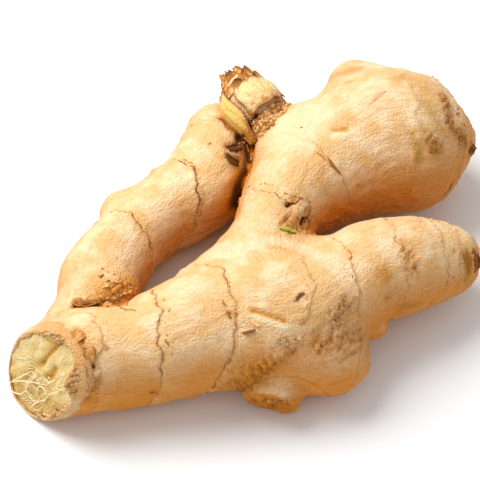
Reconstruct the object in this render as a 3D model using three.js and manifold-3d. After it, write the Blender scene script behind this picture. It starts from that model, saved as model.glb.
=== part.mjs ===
// One hand of fresh ginger root, lying on a surface.
// A thick rhizome runs along the front. A slimmer arm leaves it on the left and bends back, a neck
// in the middle swells into the big lobe at the back, and a short finger ends the front limb on the
// right. Between them sit a scaly bud, a crown knob, a broken side knob and a gnarled heel. The left
// end of the front limb is cut off at a slant. It all grew as one piece, so it is one solid.
//
// Millimetres, +Z up. The origin is at the middle of the base, on the surface that the root lies on.
import * as THREE from 'three';
import { mergeVertices } from 'three/addons/utils/BufferGeometryUtils.js';
import Module from 'manifold-3d';

const wasm = await Module();
wasm.setup();

// Each limb is a smooth spine through stations [x, y, z, radius], from its older end to its tip.
// Its rings are the scars where leaf scales stood. A ring is [place, near, top, step, lip]: its
// place along the spine, how far it leans forward on the near side and on the top, how much thinner
// the younger skin beyond it is, and the height of its raised lip.
const FRONT_LIMB = {
  sides: 28,
  stations: [
    [-70, -53, 10.8, 10.6], [-63, -51, 11.3, 11.6], [-53.5, -48, 12.5, 13.3], [-45, -45.3, 14, 14.8],
    [-32.5, -44, 14, 14.5], [-20, -40, 16, 16.4], [-6, -36, 16.5, 17.4], [10, -34, 17, 17.7],
    [23, -26, 17.5, 15.8], [34, -17.2, 17.3, 15.2], [43.5, -14, 16.6, 14.8], [51, -11.3, 15.6, 12.9],
    [57.5, -10, 15.1, 10.7],
  ],
  rings: [
    [23, 3, 5.5, 0.2, 0.5], [44.5, -1.5, 6, 0.4, 0.6], [58, 1.5, 10.5, 0.7, 0.9],
    [80, -6, 9, 0.2, 0.5], [96, -6, 8, 0.6, 0.8], [117.5, 0, 2, 0.3, 0.5],
    [126, 1.5, 3, 0.4, 0.5],
  ],
};
const LEFT_ARM = {
  sides: 24,
  stations: [
    [-44.5, -23.5, 12.5, 11.7], [-44, -13, 11.5, 12.2], [-34.5, 2.5, 12, 11.3], [-24, 12.7, 12.5, 12.3],
    [-14, 21.5, 13.2, 13.7], [-8.5, 34.5, 13.2, 13.7], [-9.5, 43.5, 11.5, 11.3],
  ],
  rings: [[18.5, 0.5, 8.5, 0.6, 0.8], [41, 0, 12, 0.9, 0.9], [66, -3.5, 4.5, 0.4, 0.6]],
};
const CENTRE_ARM = {
  sides: 30,
  stations: [
    [3.5, -25.5, 19.5, 14.5], [5.5, -6.5, 19.5, 11.7], [13.5, 12.5, 19.5, 15.2], [28.5, 26, 19.5, 19.2],
    [40, 32.2, 20.5, 21.6], [47, 33.3, 20.2, 21.2], [49.5, 34, 20, 19.7],
  ],
  rings: [[33, -0.5, -4, 0.9, 0.9], [48.5, 3, 1.5, 0.3, 0.5], [65, 0, 3, 0, 0.3], [79.5, 0, -1, 0.4, 0.6]],
};
// The bud's rings are the edges of its wrapped scales, so they lean more and step down further.
const BUD = {
  sides: 18,
  blunt: 0.5,
  stations: [[8, 33, 25, 7.3], [4.7, 37, 26.5, 8], [0.2, 42.5, 28.5, 8.9], [-2.5, 50, 29.8, 6.8]],
  rings: [[5.5, 0.8, 0.5, 0.5, 0.4], [12.5, -1, 1.5, 1, 0.4]],
};

// Knobs without rings: short swellings that fill the forks or stand out as buds and heels.
const KNOBS = {
  web_left: [[-13, -22, 16, 9], [-2.5, -14.5, 17, 10.6]],
  web_right: [[14, -17, 17.5, 11], [20, -19.5, 18, 12]],
  cut_back: [[-57.5, -42.5, 10.5, 9.5], [-50, -35, 11, 10.8]],
  side_knob: [[9, -44.5, 11, 9], [6.5, -52, 7.5, 8]],
  heel: [[15, -38, 13, 14.7], [21, -41.2, 12, 12.5], [25.5, -43, 11, 8.7]],
  heel_bump: [[25.5, -30, 13.5, 8.5], [30, -31, 12.5, 4.6]],
  shoulder: [[12, 27, 21, 10.8], [15, 30.5, 22.5, 12.2]],
  crown: [[37.5, 41, 21.5, 16], [36, 47.5, 23, 13.2], [34, 52, 24.5, 9.7]],
  lobe_shoulder: [[44, 38, 23, 16], [54.3, 43.3, 26, 9.5]],
  left_bud: [[-31, 10.5, 12.5, 9.5], [-39, 10, 14, 7.3]],
  left_under: [[-20, 9, 10, 5], [-17.5, 7.5, 9.5, 4.5]],
  left_tip: [[-10.5, 45, 12, 8], [-14, 52, 13, 3.2]],
  lobe_tip: [[62, 34, 18, 8], [68.5, 33.5, 16.5, 2.4]],
};
const KNOB_SIDES = 16;

// The broken end of the side knob and the slanted cut: a point on each face and the way it faces.
const KNOB_BREAK = { point: [4, -56, 5.5], facing: [-0.25, -0.85, -0.45], uneven: 0.35 };
const CUT = { point: [-58.5, -50, 11.5], facing: [-0.62, -0.42, 0.66], uneven: 0.25 };
const CUT_GROOVE = { depth: 1.3, width: 1.6, arm: 9, spread: 0.9 };
// Low waves over both faces, as [turn along x, turn along y, shift, share].
const WAVES = [[0.35, 0.3, 0.4, 1], [0.5, -0.4, 0, 0.6]];

const UP = new THREE.Vector3(0, 0, 1);
const ROW_GAP = 3.5; // between the rows of a limb's skin
const ROW_CLEAR = 0.8; // least distance between a plain row and a ring's rows
const CAP_ROWS = 4; // rows on each rounded end
const LUMP = 0.022; // gentle swelling of the skin, as a share of the radius
const LUMP_TURN = { three: 0.11, two: -0.07, shift: 1.3 }; // how the swellings turn along a limb
const FOOT = 0.1; // height where a lip starts, as a share of the lip
const LIP_BACK = 1.3; // where a ring's lip starts, before its crest
const LIP_FRONT = 0.8; // where the step down ends, after its crest
const REACH = 60; // size of the blocks that cut, larger than any limb is thick
const CUT_CELLS = 24; // squares along each side of the face that makes the cut
const BREAK_CELLS = 8; // squares along each side of the face that breaks the knob
const MERGE = 1e-4; // corners closer than this are one

const LIMB_SKIN = new THREE.MeshStandardMaterial({ color: 0xdcb488, roughness: 0.55, metalness: 0 });

// A solid from a closed geometry, with its shared corners merged.
function solidOf(geometry) {
  for (const name of ['normal', 'uv']) geometry.deleteAttribute(name);
  const merged = mergeVertices(geometry, MERGE);
  return new wasm.Manifold(new wasm.Mesh({
    numProp: 3,
    vertProperties: new Float32Array(merged.attributes.position.array),
    triVerts: new Uint32Array(merged.index.array),
  }));
}

// A curve through the stations' centres, and one whose x holds the radius at the same parameter.
function spineOf(stations) {
  const through = (points) => new THREE.CatmullRomCurve3(points, false, 'catmullrom', 0.5);
  return {
    centre: through(stations.map(([x, y, z]) => new THREE.Vector3(x, y, z))),
    radius: through(stations.map(([, , , r]) => new THREE.Vector3(r, 0, 0))),
  };
}

// The centre, radius and the near and up directions of a spine at a distance along it.
function frameAt(spine, length, distance) {
  const u = THREE.MathUtils.clamp(distance / length, 0, 1);
  const t = spine.centre.getUtoTmapping(u);
  const tangent = spine.centre.getTangent(t);
  const near = new THREE.Vector3().crossVectors(tangent, UP).normalize();
  const up = new THREE.Vector3().crossVectors(near, tangent);
  return { centre: spine.centre.getPoint(t), radius: spine.radius.getPoint(t).x, tangent, near, up };
}

// The rows of a limb: distance, lean on the near side, lean on the top, and height on the skin.
function rowsOf(length, rings) {
  const marks = [[0, 0, 0, 0, 0], ...rings, [length, 0, 0, 0, 0]];
  const rows = [];
  for (let i = 0; i + 1 < marks.length; i += 1) {
    const [from, fromNear, fromTop, step, lip] = marks[i];
    const [to, toNear, toTop] = marks[i + 1];
    const steps = Math.max(2, Math.round((to - from) / ROW_GAP));
    const isRing = i > 0;
    if (isRing) {
      rows.push([from - LIP_BACK, fromNear, fromTop, FOOT * lip]);
      rows.push([from, fromNear, fromTop, lip]);
      rows.push([from + LIP_FRONT, fromNear, fromTop, -step]);
    }
    for (let k = isRing ? 1 : 0; k < steps; k += 1) {
      const f = k / steps;
      const place = THREE.MathUtils.lerp(from, to, f);
      if (to - place < LIP_BACK + ROW_CLEAR) continue;
      if (isRing && place - from < LIP_FRONT + ROW_CLEAR) continue;
      const lean = [THREE.MathUtils.lerp(fromNear, toNear, f), THREE.MathUtils.lerp(fromTop, toTop, f)];
      rows.push([place, ...lean, -step * (1 - f) ** 2]);
    }
  }
  rows.push([length, 0, 0, 0]);
  return rows;
}

// A closed skin from rings of points and a point at each end.
function skinOf(rows, first, last) {
  const sides = rows[0].length;
  const points = [...rows.flat(), first, last];
  const positions = new Float32Array(points.flatMap((p) => p.toArray()));
  const index = [];
  for (let j = 0; j < sides; j += 1) {
    const k = (j + 1) % sides;
    index.push(points.length - 2, j, k);
    const end = (rows.length - 1) * sides;
    index.push(points.length - 1, end + k, end + j);
    for (let i = 0; i + 1 < rows.length; i += 1) {
      const [a, b, c, d] = [i * sides + j, (i + 1) * sides + j, (i + 1) * sides + k, i * sides + k];
      index.push(a, b, c, a, c, d);
    }
  }
  const geometry = new THREE.BufferGeometry();
  geometry.setAttribute('position', new THREE.BufferAttribute(positions, 3));
  geometry.setIndex(index);
  return geometry;
}

// A limb: its outline is carried along the spine, with leaning rings and rounded ends.
function limb({ stations, rings = [], sides = KNOB_SIDES, blunt = 1 }) {
  const spine = spineOf(stations);
  const length = spine.centre.getLength();
  const point = (frame, angle, along, across, height) => {
    const lump = Math.sin(3 * angle + LUMP_TURN.three * along)
      + Math.sin(2 * angle + LUMP_TURN.two * along + LUMP_TURN.shift);
    const radius = (frame.radius * (1 + LUMP * lump) + height) * across;
    return frame.centre.clone()
      .addScaledVector(frame.near, radius * Math.cos(angle))
      .addScaledVector(frame.up, radius * Math.sin(angle));
  };
  const angles = Array.from({ length: sides }, (_, j) => (2 * Math.PI * j) / sides);
  const cap = (distance, outward) => {
    const frame = frameAt(spine, length, distance);
    const reach = outward * frame.radius * (outward > 0 ? blunt : 1);
    const ring = (tilt) => angles.map((angle) => point(frame, angle, distance, Math.cos(tilt), 0)
      .addScaledVector(frame.tangent, reach * Math.sin(tilt)));
    const tilts = Array.from({ length: CAP_ROWS - 1 }, (_, k) => (Math.PI / 2) * ((k + 1) / CAP_ROWS));
    return { rows: tilts.map(ring), pole: frame.centre.clone().addScaledVector(frame.tangent, reach) };
  };
  const body = rowsOf(length, rings).map(([place, near, top, height]) => angles.map((angle) => {
    const along = place + near * Math.cos(angle) + top * Math.sin(angle);
    return point(frameAt(spine, length, along), angle, along, 1, height);
  }));
  const start = cap(0, -1);
  const end = cap(length, 1);
  return solidOf(skinOf([...start.rows.reverse(), ...body, ...end.rows], start.pole, end.pole));
}

// A block whose inner face is uneven: what it takes away leaves a broken or cut surface.
function uneven(face, cells, relief) {
  const block = new THREE.BoxGeometry(REACH, REACH, REACH, cells, cells, 1);
  const position = block.attributes.position;
  for (let i = 0; i < position.count; i += 1) {
    const [x, y, z] = [position.getX(i), position.getY(i), position.getZ(i)];
    const inner = z < 0;
    const waves = WAVES.map(([a, b, shift, share]) => share * Math.sin(a * x + b * y + shift));
    const wave = waves.reduce((sum, part) => sum + part);
    position.setZ(i, z + REACH / 2 + (inner ? face.uneven * wave + relief(x, y) : 0));
  }
  const facing = new THREE.Vector3(...face.facing).normalize();
  block.applyQuaternion(new THREE.Quaternion().setFromUnitVectors(new THREE.Vector3(0, 0, 1), facing));
  return solidOf(block.translate(...face.point));
}

// The groove in the cut flesh: three arms that meet in the middle, as a Y.
function groove(x, y) {
  const arms = [0, 1, 2].map((k) => k * 2 * (Math.PI / 3) + CUT_GROOVE.spread);
  const gaps = arms.map((turn) => {
    const along = THREE.MathUtils.clamp(x * Math.cos(turn) + y * Math.sin(turn), 0, CUT_GROOVE.arm);
    return Math.hypot(x - along * Math.cos(turn), y - along * Math.sin(turn));
  });
  return -CUT_GROOVE.depth * Math.exp(-((Math.min(...gaps) / CUT_GROOVE.width) ** 2));
}

// The half space above the surface that the root lies on.
function aboveTable() {
  const size = 4 * REACH;
  return solidOf(new THREE.BoxGeometry(size, size, size).translate(0, 0, size / 2));
}

function gingerRoot() {
  const knobs = Object.entries(KNOBS).map(([name, stations]) => {
    const knob = limb({ stations });
    return name === 'side_knob' ? knob.subtract(uneven(KNOB_BREAK, BREAK_CELLS, () => 0)) : knob;
  });
  const limbs = [LEFT_ARM, CENTRE_ARM, BUD].map(limb);
  const whole = [...limbs, ...knobs].reduce((sum, piece) => sum.add(piece), limb(FRONT_LIMB));
  const root = whole.subtract(uneven(CUT, CUT_CELLS, groove)).intersect(aboveTable());

  const { vertProperties, triVerts } = root.getMesh();
  const geometry = new THREE.BufferGeometry();
  geometry.setAttribute('position', new THREE.BufferAttribute(new Float32Array(vertProperties), 3));
  geometry.setIndex(new THREE.BufferAttribute(new Uint32Array(triVerts), 1));
  geometry.computeBoundingBox();
  const middle = geometry.boundingBox.getCenter(new THREE.Vector3());
  geometry.translate(-middle.x, -middle.y, -geometry.boundingBox.min.z);
  geometry.computeVertexNormals();

  const mesh = new THREE.Mesh(geometry, LIMB_SKIN);
  mesh.name = 'ginger_root';
  return mesh;
}

const ginger = new THREE.Group();
ginger.add(gingerRoot());

export default ginger;
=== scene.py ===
"""A hand of fresh ginger root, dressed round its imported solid.

The root grew as one piece, so its skin is one closed surface. It is worked out as a field: every
limb is a chain of tapered balls along a smooth spine, the limbs flow together, and the skin lies
where the field is zero. The cut flesh with its fibres, the ragged rim of skin round it, the bud's
scales, the papery flakes at the ring scars and the crumbs of dry skin are pieces of their own that
sit on that skin.

Lengths in the classes are millimetres, as the root was drawn. RECENTRE moves them so that the
middle of the base is the origin, and MM turns them into metres.
"""
import logging
import math
from dataclasses import dataclass, field, replace
from enum import Enum
from itertools import product

import bpy
import numpy as np
from mathutils.bvhtree import BVHTree
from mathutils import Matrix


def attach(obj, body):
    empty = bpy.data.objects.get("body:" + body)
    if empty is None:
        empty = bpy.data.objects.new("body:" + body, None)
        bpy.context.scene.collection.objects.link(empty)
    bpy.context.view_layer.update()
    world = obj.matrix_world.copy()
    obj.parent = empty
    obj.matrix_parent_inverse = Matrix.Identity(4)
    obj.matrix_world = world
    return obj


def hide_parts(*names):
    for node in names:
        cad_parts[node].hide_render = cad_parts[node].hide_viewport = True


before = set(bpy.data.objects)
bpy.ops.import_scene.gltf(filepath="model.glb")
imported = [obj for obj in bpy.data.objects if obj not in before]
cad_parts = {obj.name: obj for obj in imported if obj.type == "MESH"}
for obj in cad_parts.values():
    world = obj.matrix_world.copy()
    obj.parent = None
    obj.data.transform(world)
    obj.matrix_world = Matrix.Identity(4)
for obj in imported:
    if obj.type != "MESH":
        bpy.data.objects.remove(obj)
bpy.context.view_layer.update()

MM = 0.001
FAR = 1e6
RECENTRE = (0.07, 0.27, 0.0)
BODY = "root"
NODE = "ginger_root"

log = logging.getLogger("ginger")
Array = np.ndarray
Values = dict[str, Array]
Pair = tuple[float, float]
Point = tuple[float, float, float]
Colour = tuple[float, float, float, float]
Shape = tuple[Array, list]
Rng = np.random.Generator
Material = bpy.types.Material
Materials = dict[str, Material]
Socket = bpy.types.NodeSocket


def unit(vectors: Array) -> Array:
    """Scales vectors, with x, y and z last, to a length of 1."""
    return vectors / np.maximum(np.linalg.norm(vectors, axis=-1, keepdims=True), 1e-9)


def beside(axis: Array) -> tuple[Array, Array]:
    """Gives the level direction to the near side of an axis, and the one square to both."""
    near = unit(np.cross(axis, (0.0, 0.0, 1.0)))
    return near, np.cross(near, axis)


def mirrored(stops: Array) -> Array:
    """Adds a stop past each end, which mirrors the second stop from it."""
    return np.vstack([2 * stops[0] - stops[1], stops, 2 * stops[-1] - stops[-2]])


def between(start: Point, end: Point, share: Array) -> Array:
    """Gives the points at shares of the way from a start to an end."""
    return np.array(start) + np.multiply.outer(share, np.subtract(end, start))


def catmull(a: Array, b: Array, c: Array, d: Array, t: Array) -> Array:
    """Gives half of 2b + (c - a)t + (2a - 5b + 4c - d)t^2 + (3b - a - 3c + d)t^3, a smooth curve."""
    cubic = (3 * b - a - 3 * c + d) * t**3
    return 0.5 * (2 * b + (c - a) * t + (2 * a - 5 * b + 4 * c - d) * t**2 + cubic)


def ease(value: Array) -> Array:
    """Turns 0 to 1 into a smooth step, 3t^2 - 2t^3, and holds it outside."""
    t = np.clip(value, 0, 1)
    return t * t * (3 - 2 * t)


def flow(a: Array, b: Array, width: float) -> Array:
    """Joins two fields so that they flow together over a width, as a polynomial smooth minimum."""
    h = np.clip(0.5 + 0.5 * (b - a) / width, 0, 1)
    return b * (1 - h) + a * h - width * h * (1 - h)


@dataclass(frozen=True)
class Ring:
    """A scar round a limb, where a leaf scale stood.

    place is the distance along the spine, near and top are how far it leans forward on the near
    side and on the top, step is how much thinner the younger skin beyond it is, and lip is the
    height of its edge. dark is the strength of its brown line. centre and spread, in degrees round
    the limb from the near side over the top, say where a ring that is not whole shows. flakes is
    how many dry flakes stand on it.
    """

    place: float
    near: float
    top: float
    step: float
    lip: float
    dark: float = 0.6
    centre: float = 90.0
    spread: float = 400.0
    flakes: int = 8

    def wobble(self, angle: Array) -> Array:
        """Adds waves of 4, 9, 17 and 29 turns to the ring, shifted by its place along the limb."""
        shift = 1.7 * self.place
        waves = 0.5 * np.sin(4 * angle + shift) + 0.4 * np.sin(9 * angle + 2 * shift)
        return waves + 0.28 * np.sin(17 * angle + shift) + 0.16 * np.sin(29 * angle)

    def line(self, angle: Array) -> Array:
        """Gives the distance along the spine at which the ring lies, for angles round the limb."""
        return self.place + self.near * np.cos(angle) + self.top * np.sin(angle) + self.wobble(angle)

    def shows(self, angle: Array) -> Array:
        """Gives 1 where the ring shows and fades to 0 past its spread."""
        turn = np.abs((np.degrees(angle) - self.centre + 180) % 360 - 180)
        return np.clip((self.spread - turn) / 20, 0, 1)

    def profile(self, past: Array) -> Array:
        """Gives the height past the ring: a lip, a narrower groove, and a step that comes back."""
        lip = self.lip * np.exp(-(((past + 0.45) / 0.6) ** 2))
        groove = 0.22 * self.dark * np.exp(-(((past - 0.35) / 0.5) ** 2))
        return lip - groove - np.where(past > 0, self.step * np.exp(-past / 7), 0)


class Fork(Enum):
    """The side of the root's fork on which a limb or knob stands."""

    BOTH = "both"
    LEFT = "left"
    RIGHT = "right"


@dataclass
class Limb:
    """One limb or knob of the root: stations of (x, y, z, radius) along its spine.

    blend is the width over which it flows into what is there already, and gap is about how far
    apart the balls along the spine stand. fork says to which side of the root's fork it belongs,
    because the two sides meet in a sharp crease.
    """

    name: str
    stations: list[tuple[float, float, float, float]]
    blend: float
    rings: list[Ring] = field(default_factory=list)
    gap: float = 2.5
    fork: Fork = Fork.BOTH

    def __post_init__(self) -> None:
        """Works the dense chain of balls out from the stations."""
        self.chain = self._chain()
        steps = np.linalg.norm(np.diff(self.chain[:, :3], axis=0), axis=1)
        self.along = np.concatenate([[0.0], np.cumsum(steps)])

    def _chain(self) -> Array:
        """Puts balls along the spine, a Catmull-Rom curve through the stations.

        Returns:
            An array of rows (x, y, z, radius).
        """
        stops = mirrored(np.array(self.stations, float))
        rows = []
        for a, b, c, d in zip(stops, stops[1:], stops[2:], stops[3:]):
            count = max(1, round(float(np.linalg.norm(c[:3] - b[:3])) / self.gap))
            t = np.linspace(0, 1, count, endpoint=False)[:, None]
            rows.append(catmull(a, b, c, d, t))
        return np.vstack([*rows, stops[-2:-1]])

    def reach(self, margin: float) -> tuple[Array, Array]:
        """Gives the corners of the box round the limb, with a margin."""
        low = (self.chain[:, :3] - self.chain[:, 3:]).min(0) - margin
        high = (self.chain[:, :3] + self.chain[:, 3:]).max(0) + margin
        return low, high

    def distance(self, points: Array) -> Array:
        """Gives the distance from points to the limb's surface, negative inside.

        The distance to a tapered link is the distance to the nearest point of its axis, less the
        radius there, and the limb takes the least over its links.

        Args:
            points: Positions, with x, y and z last.

        Returns:
            One distance for each point.
        """
        best = np.full(points.shape[:-1], FAR, np.float32)
        for a, b in zip(self.chain, self.chain[1:]):
            start, axis = a[:3].astype(np.float32), (b[:3] - a[:3]).astype(np.float32)
            w = points - start
            t = np.clip((w @ axis) / float(axis @ axis), 0, 1)
            w -= t[..., None] * axis
            gap = np.sqrt(np.einsum("...i,...i", w, w)) - (a[3] + t * (b[3] - a[3]))
            np.minimum(best, gap, out=best)
        return best

    def place(self, points: Array) -> Values:
        """Finds where points lie along the limb and to the sides of its spine.

        near is the sideways direction, the spine crossed with up, and top is square to both. Past
        either end the distance along goes on in a straight line, for up to nine links.

        Args:
            points: Positions as rows.

        Returns:
            The gap to the surface, the distance along the spine, the sideways and upward offsets
            from it and the radius there, each as one number for each point.
        """
        out = {key: np.zeros(len(points)) for key in ("along", "side", "rise", "radius")}
        gap = np.full(len(points), FAR)
        last, past = len(self.chain) - 2, 9
        for i, (a, b) in enumerate(zip(self.chain, self.chain[1:])):
            axis = b[:3] - a[:3]
            length = float(np.linalg.norm(axis))
            axis = axis / length
            near, top = beside(axis)
            w = points - a[:3]
            free = (w @ axis) / length
            t = np.clip(free, 0, 1)
            radius = a[3] + t * (b[3] - a[3])
            d = np.linalg.norm(w - np.outer(t * length, axis), axis=1) - radius
            hit = d < gap
            gap[hit] = d[hit]
            t_open = np.clip(free, 0 if i else -past, 1 if i < last else past)
            found = (self.along[i] + t_open * length, w @ near, w @ top, radius)
            for key, value in zip(out, found):
                out[key][hit] = value[hit]
        out["gap"] = gap
        return out

    def skin_at(self, along: Array, angle: Array, lift: Array | float = 0.0) -> Array:
        """Gives points on the limb at distances along it and angles round it.

        A point is the spine's centre, plus near times the cosine and top times the sine of the
        angle, both times the radius and the lift. Past the end of the spine, the distance goes on
        over the round tip.

        Args:
            along: Distances along the spine.
            angle: Angles round it, in radians, of the same shape.
            lift: How far the points stand out from the limb.

        Returns:
            Positions, with x, y and z last.
        """
        centre = [np.interp(along, self.along, column) for column in self.chain.T]
        slopes = np.gradient(self.chain[:, :3], self.along, axis=0)
        axis = unit(np.stack([np.interp(along, self.along, column) for column in slopes.T], -1))
        near, top = beside(axis)
        over = (along - self.along[-1]) / self.chain[-1, 3]
        bend = np.clip(over, 0, 1.5)[..., None]
        out = (centre[3] + lift)[..., None]
        turned = near * np.cos(angle)[..., None] + top * np.sin(angle)[..., None]
        return np.stack(centre[:3], -1) + out * (turned * np.cos(bend) + axis * np.sin(bend))


@dataclass(frozen=True)
class Cut:
    """A flat face through a limb, within a reach of its middle point."""

    point: Point
    facing: Point
    reach: float

    def axes(self) -> tuple[Array, Array, Array, Array]:
        """Gives the middle of the cut, its two directions in the face and the way it faces."""
        normal = unit(np.array(self.facing))
        near, top = beside(normal)
        return np.array(self.point), -near, top, normal


@dataclass(frozen=True)
class Mark:
    """A spot, streak, pit or ridge on the skin, from one end to the other.

    Its strength is exp(-(d/width)^2) at a distance d from the line between its ends. height is how
    far it stands out, less than 0 for a pit. brown, amber, olive and pale are how strongly it
    takes each colour, and rough is how gnarled the skin is there.
    """

    start: Point
    end: Point
    width: float
    height: float = 0.0
    brown: float = 0.0
    amber: float = 0.0
    olive: float = 0.0
    pale: float = 0.0
    rough: float = 0.0

    def strength(self, points: Array) -> Array:
        """Gives the mark's strength at points, from 0 far off to 1 on its line."""
        a = np.array(self.start)
        axis = np.array(self.end) - a
        t = np.clip((points - a) @ axis / max(float(axis @ axis), 1e-9), 0, 1)
        gap = points - a - t[:, None] * axis
        return np.exp(-np.einsum("ij,ij->i", gap, gap) / self.width**2)

    def settled(self, ground: "Ground") -> "Mark":
        """Gives the same mark with its two ends moved onto the nearest skin."""
        start, end = ground.land([self.start, self.end])[0]
        return replace(self, start=tuple(start), end=tuple(end))


def ripples(grain: Array, across: Pair, along: Pair, seed: int) -> Array:
    """Adds up waves that run along the limbs.

    Each wave is the sine of a heading times the grain, with a short wavelength across the limb and
    a long one along it, both drawn between their limits, and a random shift.

    Args:
        grain: Rows of distance along, sideways offset and upward offset.
        across: The least and greatest wavelength across the limb.
        along: The least and greatest wavelength along it.
        seed: Which draw.

    Returns:
        Heights that spread about 1 round 0.
    """
    count = 16
    rng = np.random.default_rng(seed)
    heading = rng.uniform(0, 2 * np.pi, count)
    short = 2 * np.pi / rng.uniform(*across, count)
    long = 2 * np.pi / rng.uniform(*along, count) * rng.choice([-1, 1], count)
    waves = np.stack([long, short * np.cos(heading), short * np.sin(heading)])
    return np.sin(grain @ waves + rng.uniform(0, 2 * np.pi, count)).sum(1) / math.sqrt(count / 2)


FRONT = Limb(
    "front",
    [
        (-70, -53, 10.8, 10.6), (-63, -51, 11.3, 11.6), (-53.5, -48, 12.5, 13.3),
        (-45, -45.3, 14, 14.8), (-32.5, -44, 14, 14.5), (-20, -40, 16, 16.4), (-6, -36, 16.5, 17.4),
        (10, -34, 17, 17.7), (23, -26, 17.5, 15.8), (34, -17.2, 17.3, 15.2),
        (43.5, -14, 16.6, 14.8), (51, -11.3, 15.6, 12.9), (57.5, -10, 15.1, 10.7),
    ],
    0.0,
    [
        Ring(23, 3, 5.5, 0.1, 0.15, 0.3, flakes=3), Ring(44.5, -1.5, 6, 0.15, 0.22, 0.55),
        Ring(58, 1.5, 10.5, 0.3, 0.3, 0.6, flakes=14),
        Ring(80, -6, 9, 0.1, 0.15, 0.35, 85, 45, flakes=5),
        Ring(96, -6, 8, 0.3, 0.3, 0.3, flakes=8), Ring(117.5, 0, 2, 0.1, 0.12, 0.25, flakes=3),
        Ring(126, 1.5, 3, 0.12, 0.15, 0.3, flakes=3), Ring(134, 1, 2.5, 0.15, 0.15, 0.4, flakes=4),
    ],
)
LEFT = Limb(
    "left",
    [
        (-44.5, -23.5, 12.5, 11.7), (-44, -13, 11.5, 12.2), (-34.5, 2.5, 12, 11.3),
        (-24, 12.7, 12.5, 12.3), (-14, 21.5, 13.2, 13.7), (-8.5, 34.5, 13.2, 13.7),
        (-9.5, 43.5, 11.5, 11.3),
    ],
    3.5,
    fork=Fork.LEFT,
    rings=[
        Ring(18.5, 0.5, 8.5, 0.35, 0.4, 0.9, flakes=10), Ring(41, 0, 12, 0.5, 0.5, 1.0, flakes=14),
        Ring(66, -3.5, 4.5, 0.2, 0.3, 1.0, flakes=8),
    ],
)
CENTRE = Limb(
    "centre",
    [
        (3.5, -25.5, 19.5, 14.5), (5.5, -6.5, 19.5, 11.7), (13.5, 12.5, 19.5, 15.2),
        (28.5, 26, 19.5, 19.2), (40, 32.2, 20.5, 21.6), (47, 33.3, 20.2, 21.2), (49.5, 34, 20, 19.7),
    ],
    7.0,
    fork=Fork.RIGHT,
    rings=[
        Ring(33, -0.5, -4, 0.4, 0.35, 0.7, flakes=12),
        Ring(48.5, 3, 1.5, 0.15, 0.15, 0.3, flakes=5),
        Ring(65, 0, 3, 0.0, 0.2, 0.04, flakes=0), Ring(79.5, 0, -1, 0.12, 0.28, 0.06, flakes=3),
    ],
)
BUD = Limb(
    "bud",
    [(8, 33, 25, 7.3), (4.7, 37, 26.5, 7.8), (0.2, 42.5, 28.5, 8.2), (-2, 46.5, 29.2, 6.8)],
    1.2,
    gap=1.5,
    fork=Fork.RIGHT,
)
SIDE_KNOB = Limb("side_knob", [(9, -44.5, 11, 9), (6.5, -52, 7.5, 8)], 2.5)
KNOBS = [
    Limb("web_left", [(-13, -22, 16, 8.6), (-2.5, -14.5, 17, 10)], 7, fork=Fork.RIGHT),
    Limb("web_right", [(14, -17, 17.5, 11), (20, -19.5, 18, 12)], 3, fork=Fork.RIGHT),
    Limb("cut_back", [(-57.5, -42.5, 10.5, 9.5), (-50, -35, 11, 10.8)], 4),
    SIDE_KNOB,
    Limb("heel", [(15, -38, 13, 14.5), (21, -41.2, 12, 12.3), (25.5, -43, 11, 8.5)], 4),
    Limb("heel_bump", [(25.5, -30, 13.5, 8.5), (30, -31, 12.5, 4.8), (36, -32, 11.6, 3.9)], 2),
    Limb("shoulder", [(12, 27, 21, 10.6), (15, 30.5, 22.5, 11.8)], 6, fork=Fork.RIGHT),
    Limb(
        "crown", [(37.5, 41, 21.5, 15.6), (36, 47.5, 23, 12.8), (34, 52, 24.5, 9.6)], 6,
        fork=Fork.RIGHT,
    ),
    Limb("lobe_shoulder", [(44, 38, 23, 15.4), (54.3, 43.3, 26, 9)], 5, fork=Fork.RIGHT),
    BUD,
    Limb("left_bud", [(-31, 10.5, 12.5, 9), (-39, 10, 14, 7)], 4, fork=Fork.LEFT),
    Limb("left_under", [(-20, 9, 10, 5), (-17.5, 7.5, 9.5, 4.5)], 3, fork=Fork.LEFT),
    Limb("left_tip", [(-10.5, 45, 12, 7.5), (-14, 52, 13, 2.6)], 3, fork=Fork.LEFT),
    Limb("lobe_tip", [(62, 34, 18, 8), (68.5, 33.5, 16.5, 2.4)], 3.5, fork=Fork.RIGHT),
]
MAIN_LIMBS = [FRONT, LEFT, CENTRE]
GRAINED = [*MAIN_LIMBS, BUD, SIDE_KNOB]
CUT = Cut((-55.2, -53.2, 15.4), (-0.70, -0.56, 0.44), 32.0)
KNOB_BREAK = Cut((5.4, -56.7, 5.9), (-0.2, -0.93, -0.3), 11.0)
# How far below each cut the skin's own surface stops.
SUNK = 1.4
# The distance from a ring, in millimetres, that is written down where there is none.
NO_RING = 9.0

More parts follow.
